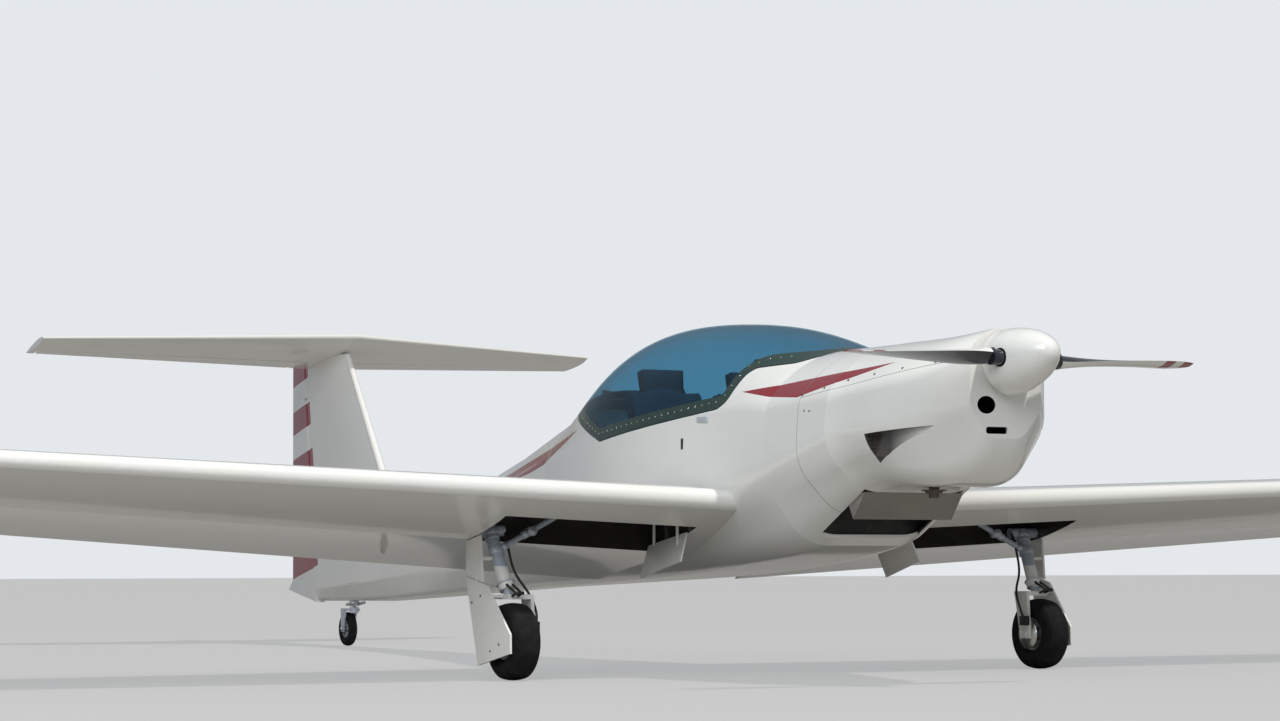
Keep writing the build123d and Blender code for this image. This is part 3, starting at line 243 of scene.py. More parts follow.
inside, inside_in, inside_out = group_of(
    "inside_of_shell",
    [("Position", "NodeSocketVector", None), ("Centre Height", "NodeSocketFloat", 0.98)],
    [("Mask", "NodeSocketFloat")],
)
centre = inside.nodes.new("ShaderNodeCombineXYZ")
inside.links.new(inside_in.outputs["Centre Height"], centre.inputs["Z"])
outward = chain(inside, "ShaderNodeVectorMath", "SUBTRACT", inside_in.outputs["Position"], centre.outputs[0])
crosswise = chain(inside, "ShaderNodeVectorMath", "MULTIPLY", outward, None)
crosswise.node.inputs[1].default_value = (1, 0, 1)
surface = inside.nodes.new("ShaderNodeTexCoord")
sided = inside.nodes.new("ShaderNodeSeparateXYZ")
inside.links.new(surface.outputs["Normal"], sided.inputs[0])
own = inside.nodes.new("ShaderNodeSeparateXYZ")
inside.links.new(surface.outputs["Object"], own.inputs[0])
own_side = chain(inside, "ShaderNodeMath", "SIGN", own.outputs["X"])
mirrored = inside.nodes.new("ShaderNodeCombineXYZ")
across = chain(inside, "ShaderNodeMath", "MULTIPLY", sided.outputs["X"], own_side)
inside.links.new(across, mirrored.inputs["X"])
inside.links.new(sided.outputs["Z"], mirrored.inputs["Z"])
against = inside.nodes.new("ShaderNodeVectorMath")
against.operation = "DOT_PRODUCT"
inside.links.new(crosswise, against.inputs[0])
inside.links.new(mirrored.outputs[0], against.inputs[1])
inward = chain(inside, "ShaderNodeMath", "LESS_THAN", against.outputs["Value"], -0.05)
inside.links.new(inward, inside_out.inputs["Mask"])

grime, grime_in, grime_out = group_of(
    "grime",
    [
        ("Position", "NodeSocketVector", None),
        ("Colour", "NodeSocketColor", (0.8, 0.8, 0.8, 1)),
        ("Dirt", "NodeSocketColor", (0.30, 0.27, 0.22, 1)),
        ("Amount", "NodeSocketFloat", 0.15),
        ("Scale", "NodeSocketFloat", 3.0),
    ],
    [("Colour", "NodeSocketColor"), ("Height", "NodeSocketFloat")],
)
streaks = grime.nodes.new("ShaderNodeTexNoise")
streaks.inputs["Detail"].default_value = 8
streaks.inputs["Roughness"].default_value = 0.62
grime.links.new(grime_in.outputs["Position"], streaks.inputs["Vector"])
grime.links.new(grime_in.outputs["Scale"], streaks.inputs["Scale"])
spread = grime.nodes.new("ShaderNodeMapRange")
spread.inputs["From Min"].default_value = 0.45
spread.inputs["From Max"].default_value = 0.75
grime.links.new(streaks.outputs["Fac"], spread.inputs["Value"])
level = chain(grime, "ShaderNodeMath", "MULTIPLY", spread.outputs["Result"], grime_in.outputs["Amount"])
soiled = grime.nodes.new("ShaderNodeMix")
soiled.data_type = "RGBA"
grime.links.new(level, soiled.inputs["Factor"])
grime.links.new(grime_in.outputs["Colour"], soiled.inputs["A"])
grime.links.new(grime_in.outputs["Dirt"], soiled.inputs["B"])
grime.links.new(soiled.outputs["Result"], grime_out.inputs["Colour"])
grime.links.new(streaks.outputs["Fac"], grime_out.inputs["Height"])


def placed(tree, group, **values):
    """A node group placed in a material, its inputs set by name from sockets or plain values."""
    node = tree.nodes.new("ShaderNodeGroup")
    node.node_tree = group
    for label, value in values.items():
        socket = node.inputs[label.replace("_", " ")]
        if isinstance(value, bpy.types.NodeSocket):
            tree.links.new(value, socket)
        else:
            socket.default_value = value
    return node


def position(tree):
    """The Object coordinates of a material, which here are the aircraft's own metres."""
    return tree.nodes.new("ShaderNodeTexCoord").outputs["Object"]


def bump(tree, shader, height, strength, distance):
    """Tilt a shader's normal by a height."""
    node = tree.nodes.new("ShaderNodeBump")
    node.inputs["Strength"].default_value = strength
    node.inputs["Distance"].default_value = distance
    tree.links.new(height, node.inputs["Height"])
    tree.links.new(node.outputs["Normal"], shader.inputs["Normal"])


def mixed(tree, mask, first, second):
    """Mix two colours by a mask. Each colour is a socket or plain red, green and blue."""
    node = tree.nodes.new("ShaderNodeMix")
    node.data_type = "RGBA"
    tree.links.new(mask, node.inputs["Factor"])
    for place, colour in (("A", first), ("B", second)):
        if isinstance(colour, bpy.types.NodeSocket):
            tree.links.new(colour, node.inputs[place])
        else:
            node.inputs[place].default_value = (*colour, 1)
    return node.outputs["Result"]


print("node groups:", [group.name for group in bpy.data.node_groups])

# %% [markdown]
# ## Gelcoat
# The airframe is glass fibre with a white gelcoat: very glossy, almost without texture, with long
# shallow waves that only show in the reflections, and a little grime low down. One function makes
# the paint, and each scheme adds its own red bands before the grime goes over everything.

# %% White gelcoat and its coloured schemes
WHITE = (0.83, 0.82, 0.78)
DEEP_RED = (0.27, 0.012, 0.020)
SEAM_GREY = (0.20, 0.20, 0.19)
# The next four colours are painted shade: inside the shell, in the scoop, in the wheel wells and on the exit
# flap
INSIDE_SHADE = (0.05, 0.05, 0.05)
SHADE_BROWN = (0.06, 0.052, 0.045)
WELL_SHADE = (0.03, 0.028, 0.025)
FLAP_SHADE = (0.20, 0.185, 0.165)


def region(tree, coords, edges):
    """The mask of a region bounded by straight edges, each edge a normal and a distance."""
    mask = None
    for normal, distance in edges:
        side = placed(tree, beyond, Position=coords, Normal=normal, Distance=distance).outputs["Mask"]
        mask = side if mask is None else chain(tree, "ShaderNodeMath", "MULTIPLY", mask, side)
    return mask


def polygon_edges(corners, across):
    """Half-plane edges of a convex polygon drawn in a side or plan view, inside counted as positive.

    corners are 2-D points in order, and across names the axis left out: 0 for a side view.
    """
    middle = (sum(c[0] for c in corners) / len(corners), sum(c[1] for c in corners) / len(corners))
    axes = [axis for axis in range(3) if axis != across]
    edges = []
    for (a0, a1), (b0, b1) in zip(corners, corners[1:] + corners[:1]):
        normal_2d = Vector((b1 - a1, a0 - b0)).normalized()
        distance = normal_2d.dot((a0, a1))
        if normal_2d.dot(middle) < distance:
            normal_2d, distance = -normal_2d, -distance
        normal = [0.0, 0.0, 0.0]
        normal[axes[0]], normal[axes[1]] = normal_2d
        edges.append((tuple(normal), distance))
    return edges


def both_sides(tree):
    """Object coordinates with X made positive, so one region paints the left and the right side."""
    split = tree.nodes.new("ShaderNodeSeparateXYZ")
    tree.links.new(position(tree), split.inputs[0])
    join = tree.nodes.new("ShaderNodeCombineXYZ")
    tree.links.new(chain(tree, "ShaderNodeMath", "ABSOLUTE", split.outputs["X"]), join.inputs["X"])
    tree.links.new(split.outputs["Y"], join.inputs["Y"])
    tree.links.new(split.outputs["Z"], join.inputs["Z"])
    return join.outputs[0]


def gelcoat(name, red_regions=(), seams=(), painted_shade_regions=(), painted_shade_inside=False, grime_amount=0.05):
    """White gelcoat with red regions, regions of painted shade, thin panel seams, an inside painted dark as
    shade and light grime.

    A seam is a plane's normal and distance, its half width and its limits. A region of painted shade is its
    edges, its shade colour and the two Y values between which the painted shade deepens, or None.
    """
    made, tree, shader = new_material(name, WHITE, 0.2)
    coords = both_sides(tree)
    colour = None
    for edges in red_regions:
        mask = region(tree, coords, edges)
        colour = mixed(tree, mask, colour or WHITE, DEEP_RED)
    for edges, shade, fade in painted_shade_regions:
        mask = region(tree, coords, edges)
        if fade:
            lengthwise = tree.nodes.new("ShaderNodeSeparateXYZ")
            tree.links.new(coords, lengthwise.inputs[0])
            deepening = tree.nodes.new("ShaderNodeMapRange")
            deepening.inputs["From Min"].default_value, deepening.inputs["From Max"].default_value = fade
            tree.links.new(lengthwise.outputs["Y"], deepening.inputs["Value"])
            mask = chain(tree, "ShaderNodeMath", "MULTIPLY", mask, deepening.outputs["Result"])
        colour = mixed(tree, mask, colour or WHITE, shade)
    # The inner faces of the cowl and cabin shell are painted near black as shade
    if painted_shade_inside:
        within = placed(tree, inside, Position=coords)
        colour = mixed(tree, within.outputs["Mask"], colour or WHITE, INSIDE_SHADE)
    seam_mask = None
    for normal, distance, half_width, limits in seams:
        line = placed(tree, seam, Position=coords, Normal=normal, Distance=distance, Half_Width=half_width)
        mask = line.outputs["Mask"]
        if limits:
            mask = chain(tree, "ShaderNodeMath", "MULTIPLY", mask, region(tree, coords, limits))
        seam_mask = mask if seam_mask is None else chain(tree, "ShaderNodeMath", "MAXIMUM", seam_mask, mask)
    if seam_mask is not None:
        colour = mixed(tree, seam_mask, colour or WHITE, SEAM_GREY)
    dirt = placed(tree, grime, Position=coords, Amount=grime_amount, Scale=2.2)
    if colour is None:
        dirt.inputs["Colour"].default_value = (*WHITE, 1)
    else:
        tree.links.new(colour, dirt.inputs["Colour"])
    tree.links.new(dirt.outputs["Colour"], shader.inputs["Base Color"])
    shader.inputs["Coat Weight"].default_value = 0.6
    shader.inputs["Coat Roughness"].default_value = 0.05
    waves = tree.nodes.new("ShaderNodeTexNoise")
    waves.inputs["Scale"].default_value = 1.4
    waves.inputs["Detail"].default_value = 1
    tree.links.new(position(tree), waves.inputs["Vector"])
    bump(tree, shader, waves.outputs["Fac"], 0.25, 0.02)
    return made


def side_view(*corners):
    """The edges of a convex side-view region from stations and heights in metres."""
    return polygon_edges([(aft(station), height) for station, height in corners], 0)


# Red spears on the nose and the rear deck, from stations and heights
NOSE_SPEAR = side_view((-0.365, 1.241), (-0.579, 1.209), (-0.79, 1.197), (-1.298, 1.323))
DECK_SPEAR = side_view((1.14, 1.136), (1.50, 1.024), (1.66, 0.978), (1.87, 0.944), (3.3, 0.795))
# The scoop's pocket is painted with shade that deepens towards its rear wall, as its floor faces away from
# the light
SCOOP = side_view((-1.56, 1.057), (-1.2165, 1.029), (-1.2165, 0.905), (-1.377, 0.979))
SCOOP_SHADE_FADE = (aft(-1.46), aft(-1.30))

# Rudder bands: five sloping pairs of heights at one station, cut off by a line along the fin
BAND_HEIGHTS = [(1.90, 1.588), (1.431, 1.288), (1.135, 0.991), (0.838, 0.695), (0.541, 0.394)]
BAND_STATION, BAND_SLOPE = 5.82, -0.18
BAND_START, BAND_END = 5.30, 5.95
front_limit = Vector((1.0, -0.1886)).normalized()
band_front = ((0, front_limit[0], front_limit[1]), front_limit.dot((aft(5.342), 0.48)))
rudder_bands = []
for high, low in BAND_HEIGHTS:
    at_start = BAND_SLOPE * (BAND_START - BAND_STATION)
    at_end = BAND_SLOPE * (BAND_END - BAND_STATION)
    band = side_view(
        (BAND_START, low + at_start), (BAND_END, low + at_end),
        (BAND_END, high + at_end), (BAND_START, high + at_start),
    )
    rudder_bands.append(band + [band_front])

# Seams: the cowl's split runs slightly down to the cabin, where the cowl ends
SEAM_HALF = 0.0012
SPLIT_PLACE, SPLIT_SLOPE = (0, aft(-0.7), 1.177), 0.148
CABIN_FRONT = -0.82
split_along = Vector((1.0, -SPLIT_SLOPE)).normalized()
split_normal = (0, -split_along[1], split_along[0])
forward_of_cabin = [((0, -1, 0), -aft(CABIN_FRONT))]
cowl_split = (split_normal, Vector(split_normal).dot(SPLIT_PLACE), SEAM_HALF, forward_of_cabin)
cowl_seam = ((0, 1, 0), aft(CABIN_FRONT - 0.0003), SEAM_HALF, None)

# Wheel well: a box in the wing's own tilted frame, drawn 0.8 mm past the CAD cut, painted dark as shade
# inside the well
WING_ANGLE = radians(12.8)
WELL_SPAN = (0.5742, 1.5008)
WELL_CHORD = (0.2242, 0.6258)
WELL_TOP = 0.0458
chordwise = Vector((0, cos(WING_ANGLE), -sin(WING_ANGLE)))
upward = Vector((0, sin(WING_ANGLE), cos(WING_ANGLE)))
lead = Vector((1.0, aft(-0.368) + 0.00875, 0.78525))
WHEEL_WELL = [
    ((1, 0, 0), WELL_SPAN[0]),
    ((-1, 0, 0), -WELL_SPAN[1]),
    (tuple(chordwise), chordwise.dot(lead) + WELL_CHORD[0]),
    (tuple(-chordwise), -chordwise.dot(lead) - WELL_CHORD[1]),
    (tuple(-upward), -upward.dot(lead) - WELL_TOP),
]

white_paint = gelcoat("white_gelcoat")
nose_paint = gelcoat(
    "nose_gelcoat", [NOSE_SPEAR], [cowl_split, cowl_seam], [(SCOOP, SHADE_BROWN, SCOOP_SHADE_FADE)], painted_shade_inside=True
)
cabin_paint = gelcoat("cabin_gelcoat", [NOSE_SPEAR, DECK_SPEAR], [cowl_seam], painted_shade_inside=True)
boom_paint = gelcoat("boom_gelcoat", [DECK_SPEAR] + rudder_bands)
tail_paint = gelcoat("tail_gelcoat", rudder_bands)
wing_paint = gelcoat("wing_gelcoat", painted_shade_regions=[(WHEEL_WELL, WELL_SHADE, None)])
door_paint = gelcoat("door_gelcoat", grime_amount=0.25)
# The whole exit flap is painted grey-brown as shade, as if it hung in its own shadow
above_ground = [((0, 0, 1), 0.0)]
flap_paint = gelcoat("flap_gelcoat", painted_shade_regions=[(above_ground, FLAP_SHADE, None)], grime_amount=0.5)
print("gelcoat ready")


def dress(made, *names):
    """Give CAD nodes one material in every slot."""
    for name in names:
        mesh = nodes[name].data
        if not mesh.materials:
            mesh.materials.append(made)
        for slot in range(len(mesh.materials)):
            mesh.materials[slot] = made
        mesh.polygons.foreach_set("material_index", [0] * len(mesh.polygons))


dress(white_paint, "outer_wing_left", "outer_wing_right", "aileron_left", "aileron_right", "spinner")
dress(white_paint, "airbrake_left", "airbrake_right", "tailplane", "elevator_left", "elevator_right")
dress(nose_paint, "cowl_upper", "cowl_lower")
dress(cabin_paint, "cabin_shell")
dress(boom_paint, "tail_boom")
dress(tail_paint, "fin", "rudder")
dress(wing_paint, "inner_wing_left", "inner_wing_right")
dress(door_paint, "leg_doors_left", "leg_doors_right", "well_door_left", "well_door_right")
dress(flap_paint, "exit_flap")

# %% Propeller: one face of each blade black, two red bands by each tip
BLADE_BLACK = (0.012, 0.013, 0.022)
TIP_BAND = 0.79
INNER_BAND = (0.69, 0.742)
BLADE_ROOT = 0.17
THRUST_TILT = radians(7.5)
blade_paint, blade_tree, blade_shader = new_material("blade_paint", WHITE, 0.25)
blade_shader.inputs["Coat Weight"].default_value = 0.5
blade_coords = both_sides(blade_tree)
blade_colour = mixed(blade_tree, region(blade_tree, blade_coords, [((1, 0, 0), TIP_BAND)]), WHITE, DEEP_RED)
inner_band = region(blade_tree, blade_coords, [((1, 0, 0), INNER_BAND[0]), ((-1, 0, 0), -INNER_BAND[1])])
blade_colour = mixed(blade_tree, inner_band, blade_colour, DEEP_RED)
blade_ends = blade_tree.nodes.new("ShaderNodeSeparateXYZ")
blade_tree.links.new(position(blade_tree), blade_ends.inputs[0])
blade_face = blade_tree.nodes.new("ShaderNodeVectorMath")
blade_face.operation = "DOT_PRODUCT"
blade_tree.links.new(blade_tree.nodes.new("ShaderNodeTexCoord").outputs["Normal"], blade_face.inputs[0])
blade_face.inputs[1].default_value = (0, sin(THRUST_TILT), cos(THRUST_TILT))
face_value, blade_x = blade_face.outputs["Value"], blade_ends.outputs["X"]
turned_face = chain(blade_tree, "ShaderNodeMath", "MULTIPLY", face_value, blade_x)
black_face = chain(blade_tree, "ShaderNodeMath", "GREATER_THAN", turned_face, 0.0)
blade_root = region(blade_tree, blade_coords, [((-1, 0, 0), -BLADE_ROOT)])
black_area = chain(blade_tree, "ShaderNodeMath", "MAXIMUM", black_face, blade_root)
blade_colour = mixed(blade_tree, black_area, blade_colour, BLADE_BLACK)
blade_tree.links.new(blade_colour, blade_shader.inputs["Base Color"])
dress(blade_paint, "propeller")
print("blades painted")

# %% [markdown]
# ## Glass, metals, rubber and plastics
# Canopy glass is acrylic with a blue-green tint. Its own gloss is what the eye reads, so the material
# mixes a tinted see-through shader with a mirror-like one by how edge-on the sheet is seen. A Fresnel
# node would turn the far face of each thin sheet into a full mirror, because nothing bends the ray.

# %% Canopy glass
GLASS_TINT = (0.50, 0.71, 0.80)  # what one face of the sheet lets through
HEAD_ON_GLOSS, EDGE_ON_GLOSS = 0.03, 0.5

glass = bpy.data.materials.new("tinted_acrylic")
glass.use_nodes = True
glass_tree = glass.node_tree
glass_tree.nodes.remove(glass_tree.nodes["Principled BSDF"])
tint = glass_tree.nodes.new("ShaderNodeBsdfTransparent")
tint.inputs["Color"].default_value = (*GLASS_TINT, 1)
mirror_gloss = glass_tree.nodes.new("ShaderNodeBsdfGlossy")
mirror_gloss.inputs["Roughness"].default_value = 0.02
edge_on = glass_tree.nodes.new("ShaderNodeLayerWeight")
edge_on.inputs["Blend"].default_value = 0.5
grazing = chain(glass_tree, "ShaderNodeMath", "POWER", edge_on.outputs["Facing"], 5.0)
gloss_share = chain(glass_tree, "ShaderNodeMath", "MULTIPLY_ADD", grazing, EDGE_ON_GLOSS, HEAD_ON_GLOSS)
glass_mix = glass_tree.nodes.new("ShaderNodeMixShader")
glass_tree.links.new(gloss_share, glass_mix.inputs["Fac"])
glass_tree.links.new(tint.outputs[0], glass_mix.inputs[1])
glass_tree.links.new(mirror_gloss.outputs[0], glass_mix.inputs[2])
glass_tree.links.new(glass_mix.outputs[0], glass_tree.nodes["Material Output"].inputs["Surface"])
dress(glass, "canopy_glass")
print("glass ready")


# %% Painted, metal, rubber and plastic finishes
DUST = (0.12, 0.10, 0.08)
DRY_MUD = (0.05, 0.047, 0.042)
BRAKE_DUST = (0.05, 0.045, 0.04)
NEAR_BLACK = (0.02, 0.02, 0.02)
SHADOW_AND_PISTON_GREY = (0.42, 0.47, 0.55)


def worn(name, colour, roughness, metallic=0.0, dirt=0.3, scale=12.0, relief=0.0, soiling=DUST):
    """A finish with grime that varies over the piece and an optional fine relief."""
    made, tree, shader = new_material(name, colour, roughness, metallic)
    soil = placed(tree, grime, Position=position(tree), Amount=dirt, Scale=scale)
    soil.inputs["Dirt"].default_value = (*soiling, 1)
    soil.inputs["Colour"].default_value = (*colour, 1)
    tree.links.new(soil.outputs["Colour"], shader.inputs["Base Color"])
    if relief:
        bump(tree, shader, soil.outputs["Height"], 0.5, relief)
    return made


green_paint = worn("dark_green_frame", (0.018, 0.045, 0.036), 0.3, dirt=0.15, scale=20)
leg_paint = worn("silver_grey_leg", (0.56, 0.60, 0.66), 0.38, 0.25, dirt=0.25, scale=9)
steel = worn("bright_steel", (0.72, 0.72, 0.70), 0.22, 1.0, dirt=0.25, scale=18)
dark_steel = worn("sooty_steel", (0.16, 0.13, 0.11), 0.5, 0.8, dirt=0.6, scale=30, relief=0.001)
tyre_rubber = worn(
    "tyre_rubber", (0.008, 0.008, 0.009), 0.85, dirt=0.25, scale=25, relief=0.0015, soiling=DRY_MUD
)
tyre_rubber.node_tree.nodes["Principled BSDF"].inputs["Specular IOR Level"].default_value = 0.2
alloy = worn("wheel_alloy", (0.50, 0.51, 0.52), 0.4, 0.9, dirt=0.5, scale=22, soiling=BRAKE_DUST)
black_plastic = worn("black_plastic", (0.012, 0.012, 0.013), 0.5, dirt=0.15, scale=30, relief=0.0004)
grey_trim = worn("grey_trim", (0.17, 0.17, 0.17), 0.75, dirt=0.2, scale=20, relief=0.0008)
engine_black_and_firewall_shade = worn("engine_black_and_firewall_shade", (0.03, 0.03, 0.03), 0.55, 0.3, dirt=0.4, scale=15, relief=0.002)
dress(green_paint, "canopy_frame")
dress(leg_paint, "tail_wheel_post", "tail_fork")
dress(tyre_rubber, "main_tyre_left", "main_tyre_right", "tail_tyre")
dress(alloy, "main_hub_left", "main_hub_right", "tail_hub")
dress(dark_steel, "exhaust_pipe")
# The engine block is black; the firewall is painted black as shade inside the cowl
dress(engine_black_and_firewall_shade, "firewall", "engine_block")
dress(grey_trim, "cockpit_floor", "seat_base", "baggage_shelf")
dress(black_plastic, "instrument_panel", "control_sticks")
print("finishes:", len(bpy.data.materials))

# %% Struts: painted shadow of the wing in blue-grey at the top, painted sunlight in white between and below, and blue-grey on the bare piston
# Below this height the strut is painted white as sunlight, above it blue-grey as the wing's shadow, on one
# light grey paint
SUNLIT_BELOW = 0.487
PISTON_SPAN = (0.367, 0.388)
PISTON_INNER = 1.35
strut_paint, strut_tree, strut_shader = new_material("strut_paint", WHITE, 0.35)
strut_coords = both_sides(strut_tree)
strut_in_painted_shadow = region(strut_tree, strut_coords, [((0, 0, 1), SUNLIT_BELOW)])
piston_edges = [((0, 0, -1), -PISTON_SPAN[1]), ((0, 0, 1), PISTON_SPAN[0]), ((1, 0, 0), PISTON_INNER)]
piston = region(strut_tree, strut_coords, piston_edges)
painted_shadow_and_piston = chain(strut_tree, "ShaderNodeMath", "MAXIMUM", strut_in_painted_shadow, piston)
strut_colour = mixed(strut_tree, painted_shadow_and_piston, WHITE, SHADOW_AND_PISTON_GREY)
strut_dirt = placed(strut_tree, grime, Position=strut_coords, Amount=0.2, Scale=9)
strut_tree.links.new(strut_colour, strut_dirt.inputs["Colour"])
strut_tree.links.new(strut_dirt.outputs["Colour"], strut_shader.inputs["Base Color"])
dress(strut_paint, "gear_leg_left", "gear_leg_right")
print("struts painted")

# %% [markdown]
# ## Placing small things on the skin
# Screws, a latch and grille marks sit on curved surfaces, so each is placed by a ray cast at the CAD
# node that carries it. The hit gives both the point and the direction to face.

# %% Helpers for new pieces
def tree_of(*names):
    """A search tree over CAD nodes."""
    shape = bmesh.new()
    for name in names:
        shape.from_mesh(nodes[name].data)
    made = BVHTree.FromBMesh(shape)
    shape.free()
    return made


def finished(name, shape, finish, body, smooth=True):
    """Turn a bmesh into an object that rides on a body."""
    bmesh.ops.recalc_face_normals(shape, faces=shape.faces)
    mesh = bpy.data.meshes.new(name)
    shape.to_mesh(mesh)
    shape.free()
    mesh.polygons.foreach_set("use_smooth", [smooth] * len(mesh.polygons))
    mesh.materials.append(finish)
    made = bpy.data.objects.new(name, mesh)
    scene.collection.objects.link(made)
    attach(made, body)
    return made


def facing(place, direction):
    """A matrix at a place whose Z points along a direction."""
    return Matrix.Translation(place) @ Vector(direction).to_track_quat("Z", "Y").to_matrix().to_4x4()


def disc(shape, place, direction, radius, height, top=None, segments=20):
    """Add a flat-ended cylinder or cone that stands on a place."""
    bmesh.ops.create_cone(
        shape, cap_ends=True, segments=segments, radius1=radius, radius2=radius if top is None else top,
        depth=height, matrix=facing(Vector(place) + Vector(direction).normalized() * height / 2, direction),
    )


def slab(shape, low, high):
    """Add a box between two corners."""
    low, high = Vector(low), Vector(high)
    size = Matrix.Diagonal((*(high - low), 1))
    bmesh.ops.create_cube(shape, size=1, matrix=Matrix.Translation((low + high) / 2) @ size)


def tube(name, points, radius, finish, body):
    """A round tube along a smooth curve through points."""
    data = bpy.data.curves.new(name, "CURVE")
    data.dimensions = "3D"
    data.bevel_depth = radius
    data.bevel_resolution = 4
    data.resolution_u = 8
    data.use_fill_caps = True
    spline = data.splines.new("BEZIER")
    spline.bezier_points.add(len(points) - 1)
    for knot, place in zip(spline.bezier_points, points):
        knot.co = place
        knot.handle_left_type = knot.handle_right_type = "AUTO"
    holder = bpy.data.objects.new(name + "_curve", data)
    scene.collection.objects.link(holder)
    mesh = bpy.data.meshes.new_from_object(holder.evaluated_get(bpy.context.evaluated_depsgraph_get()))
    bpy.data.objects.remove(holder)
    shape = bmesh.new()
    shape.from_mesh(mesh)
    return finished(name, shape, finish, body)


def softened(shape, width, segments=3):
    """Round every edge of a shape by a width."""
    bmesh.ops.bevel(
        shape, geom=shape.edges[:], offset=width, segments=segments, profile=0.5, affect="EDGES", material=-1
    )


def from_side(tree, side, station, height):
    """The point and the outward direction where a level ray from one side meets a search tree."""
    start = Vector((side * FAR_OUT, aft(station), height))
    place, normal, index, distance = tree.ray_cast(start, Vector((-side, 0, 0)))
    return place, normal


def head(shape, place, normal, size, segments=20):
    """Add a screw head, its foot sunk in the skin. Its size is its radius, height and top radius."""
    radius, height, top = size
    disc(shape, place - normal * SUNK, normal, radius, height, top, segments)


SIDES = ((1, "left"), (-1, "right"))
FAR_OUT = 1.9
SUNK = 0.001
hull_tree = tree_of("cabin_shell", "cowl_upper", "cowl_lower", "canopy_frame")
print("helpers ready")

# %% Screws on the cowl's split line and on the canopy frame
COWL_HEAD, SMALL_HEAD, FRAME_HEAD = (0.0065, 0.0025, 0.005), (0.005, 0.002, 0.004), (0.0045, 0.002, 0.0032)
ABOVE_SPLIT = 0.004
FRAME_SPACING = 0.05
SPLIT_SCREWS = [
    (-0.823, 1.202), (-0.951, 1.226), (-1.069, 1.254), (-1.221, 1.272), (-1.378, 1.289), (-1.536, 1.306),
]
COWL_DOTS = [(-0.86, 1.137), (-0.893, 1.135)]
FRAME_LINE = [
    (1.47, 1.343), (1.33, 1.258), (0.805, 1.100), (-0.205, 1.204),
    (-0.252, 1.232), (-0.285, 1.36), (-0.36, 1.392), (-0.5, 1.402),
]
for side, word in SIDES:
    screws = bmesh.new()
    for station, height in SPLIT_SCREWS:
        place, normal = from_side(hull_tree, side, station, height + ABOVE_SPLIT)
        head(screws, place, normal, COWL_HEAD)
    for station, height in COWL_DOTS:
        place, normal = from_side(hull_tree, side, station, height)
        head(screws, place, normal, SMALL_HEAD)
    finished("cowl_screws_" + word, screws, dark_steel, "airframe")

    heads = bmesh.new()
    for start, goal in zip(FRAME_LINE, FRAME_LINE[1:]):
        start, goal = Vector(start), Vector(goal)
        count = max(1, round((goal - start).length / FRAME_SPACING))
        for step in range(count):
            station, height = start.lerp(goal, step / count)
            place, normal = from_side(hull_tree, side, station, height)
            head(heads, place, normal, FRAME_HEAD, 12)
    finished("frame_screws_" + word, heads, steel, "canopy")
print("screws placed")

# %% Latch, step slot, scoop grilles and exhaust flange
LATCH_PLACE, LATCH_HALF, LATCH_DEPTH = (-0.139, 1.128), (0.045, 0.014), (-0.002, 0.007)
SLOT_PLACE, SLOT_HALF, SLOT_HEIGHTS = (0.017, 1.026), (0.002, 0.008), (1.002, 1.05)
SCOOP_WALL = -1.219
SCOOP_SEARCH = -1.25
MARK_COLUMNS = [0.358 + 0.014 * column for column in range(4)]
MARK_ROWS = [0.918 + 0.0165 * row for row in range(7)]
MARK_HALF = (0.005, 0.003)
EXHAUST = -1.144
for side, word in SIDES:
    place = from_side(hull_tree, side, *LATCH_PLACE)[0]
    latch = bmesh.new()
    slab(latch, (-LATCH_HALF[0], -LATCH_HALF[1], LATCH_DEPTH[0]), (*LATCH_HALF, LATCH_DEPTH[1]))
    softened(latch, 0.004)
    lengthwise_on_side = Matrix(((0, 0, side), (1, 0, 0), (0, 1, 0))).to_4x4()
    latch.transform(Matrix.Translation(place) @ lengthwise_on_side)
    finished("canopy_latch_" + word, latch, leg_paint, "airframe")

    place = from_side(hull_tree, side, *SLOT_PLACE)[0]
    upright = bmesh.new()
    slab(
        upright,
        (place.x - SLOT_HALF[0], place.y - SLOT_HALF[1], SLOT_HEIGHTS[0]),
        (place.x + SLOT_HALF[0], place.y + SLOT_HALF[1], SLOT_HEIGHTS[1]),
    )
    finished("step_slot_" + word, upright, black_plastic, "airframe", smooth=False)

    grille = bmesh.new()
    for x in MARK_COLUMNS:
        for height in MARK_ROWS:
            hits = []
            for reach in (-0.006, 0.006):
                start = Vector((side * (x + reach), aft(SCOOP_SEARCH), height))
                hits.append(hull_tree.ray_cast(start, Vector((0, 1, 0)), 0.06)[0])
            if all(hit and abs(hit.y - aft(SCOOP_WALL)) < 0.004 for hit in hits):
                wall = min(hit.y for hit in hits)
                slab(
                    grille,
                    (side * x - MARK_HALF[0], wall - 0.0015, height - MARK_HALF[1]),
                    (side * x + MARK_HALF[0], wall + 0.001, height + MARK_HALF[1]),
                )
    print("scoop grille:", len(grille.faces), "faces")
    finished("scoop_grille_" + word, grille, black_plastic, "airframe", smooth=False)

flange = bmesh.new()
disc(flange, (0, aft(EXHAUST), 0.800), (0, 0, 1), 0.052, 0.006)
disc(flange, (0, aft(EXHAUST), 0.790), (0, 0, 1), 0.033, 0.012, 0.04)
finished("exhaust_flange", flange, dark_steel, "airframe")
print("fittings placed")

# %% [markdown]
# ## Landing gear
# The gear reads as machinery because of its small parts: collars on the strut, scissor links at its
# front, a brake disc inboard of the tyre and a hose that runs down to it.

# %% Collars, scissor links, brace joints, brakes and hoses
LEG_TOP = Vector((1.418, aft(0.180), 0.648))
LEG_LOW = Vector((1.395, aft(0.050), 0.390))
BRACE_FOOT = Vector((1.0, aft(0.150), 0.760))
down = (LEG_LOW - LEG_TOP).normalized()


def at(side, place):
    """A left-hand place, or its mirror image on the right."""
    return Vector((side * place[0], place[1], place[2]))


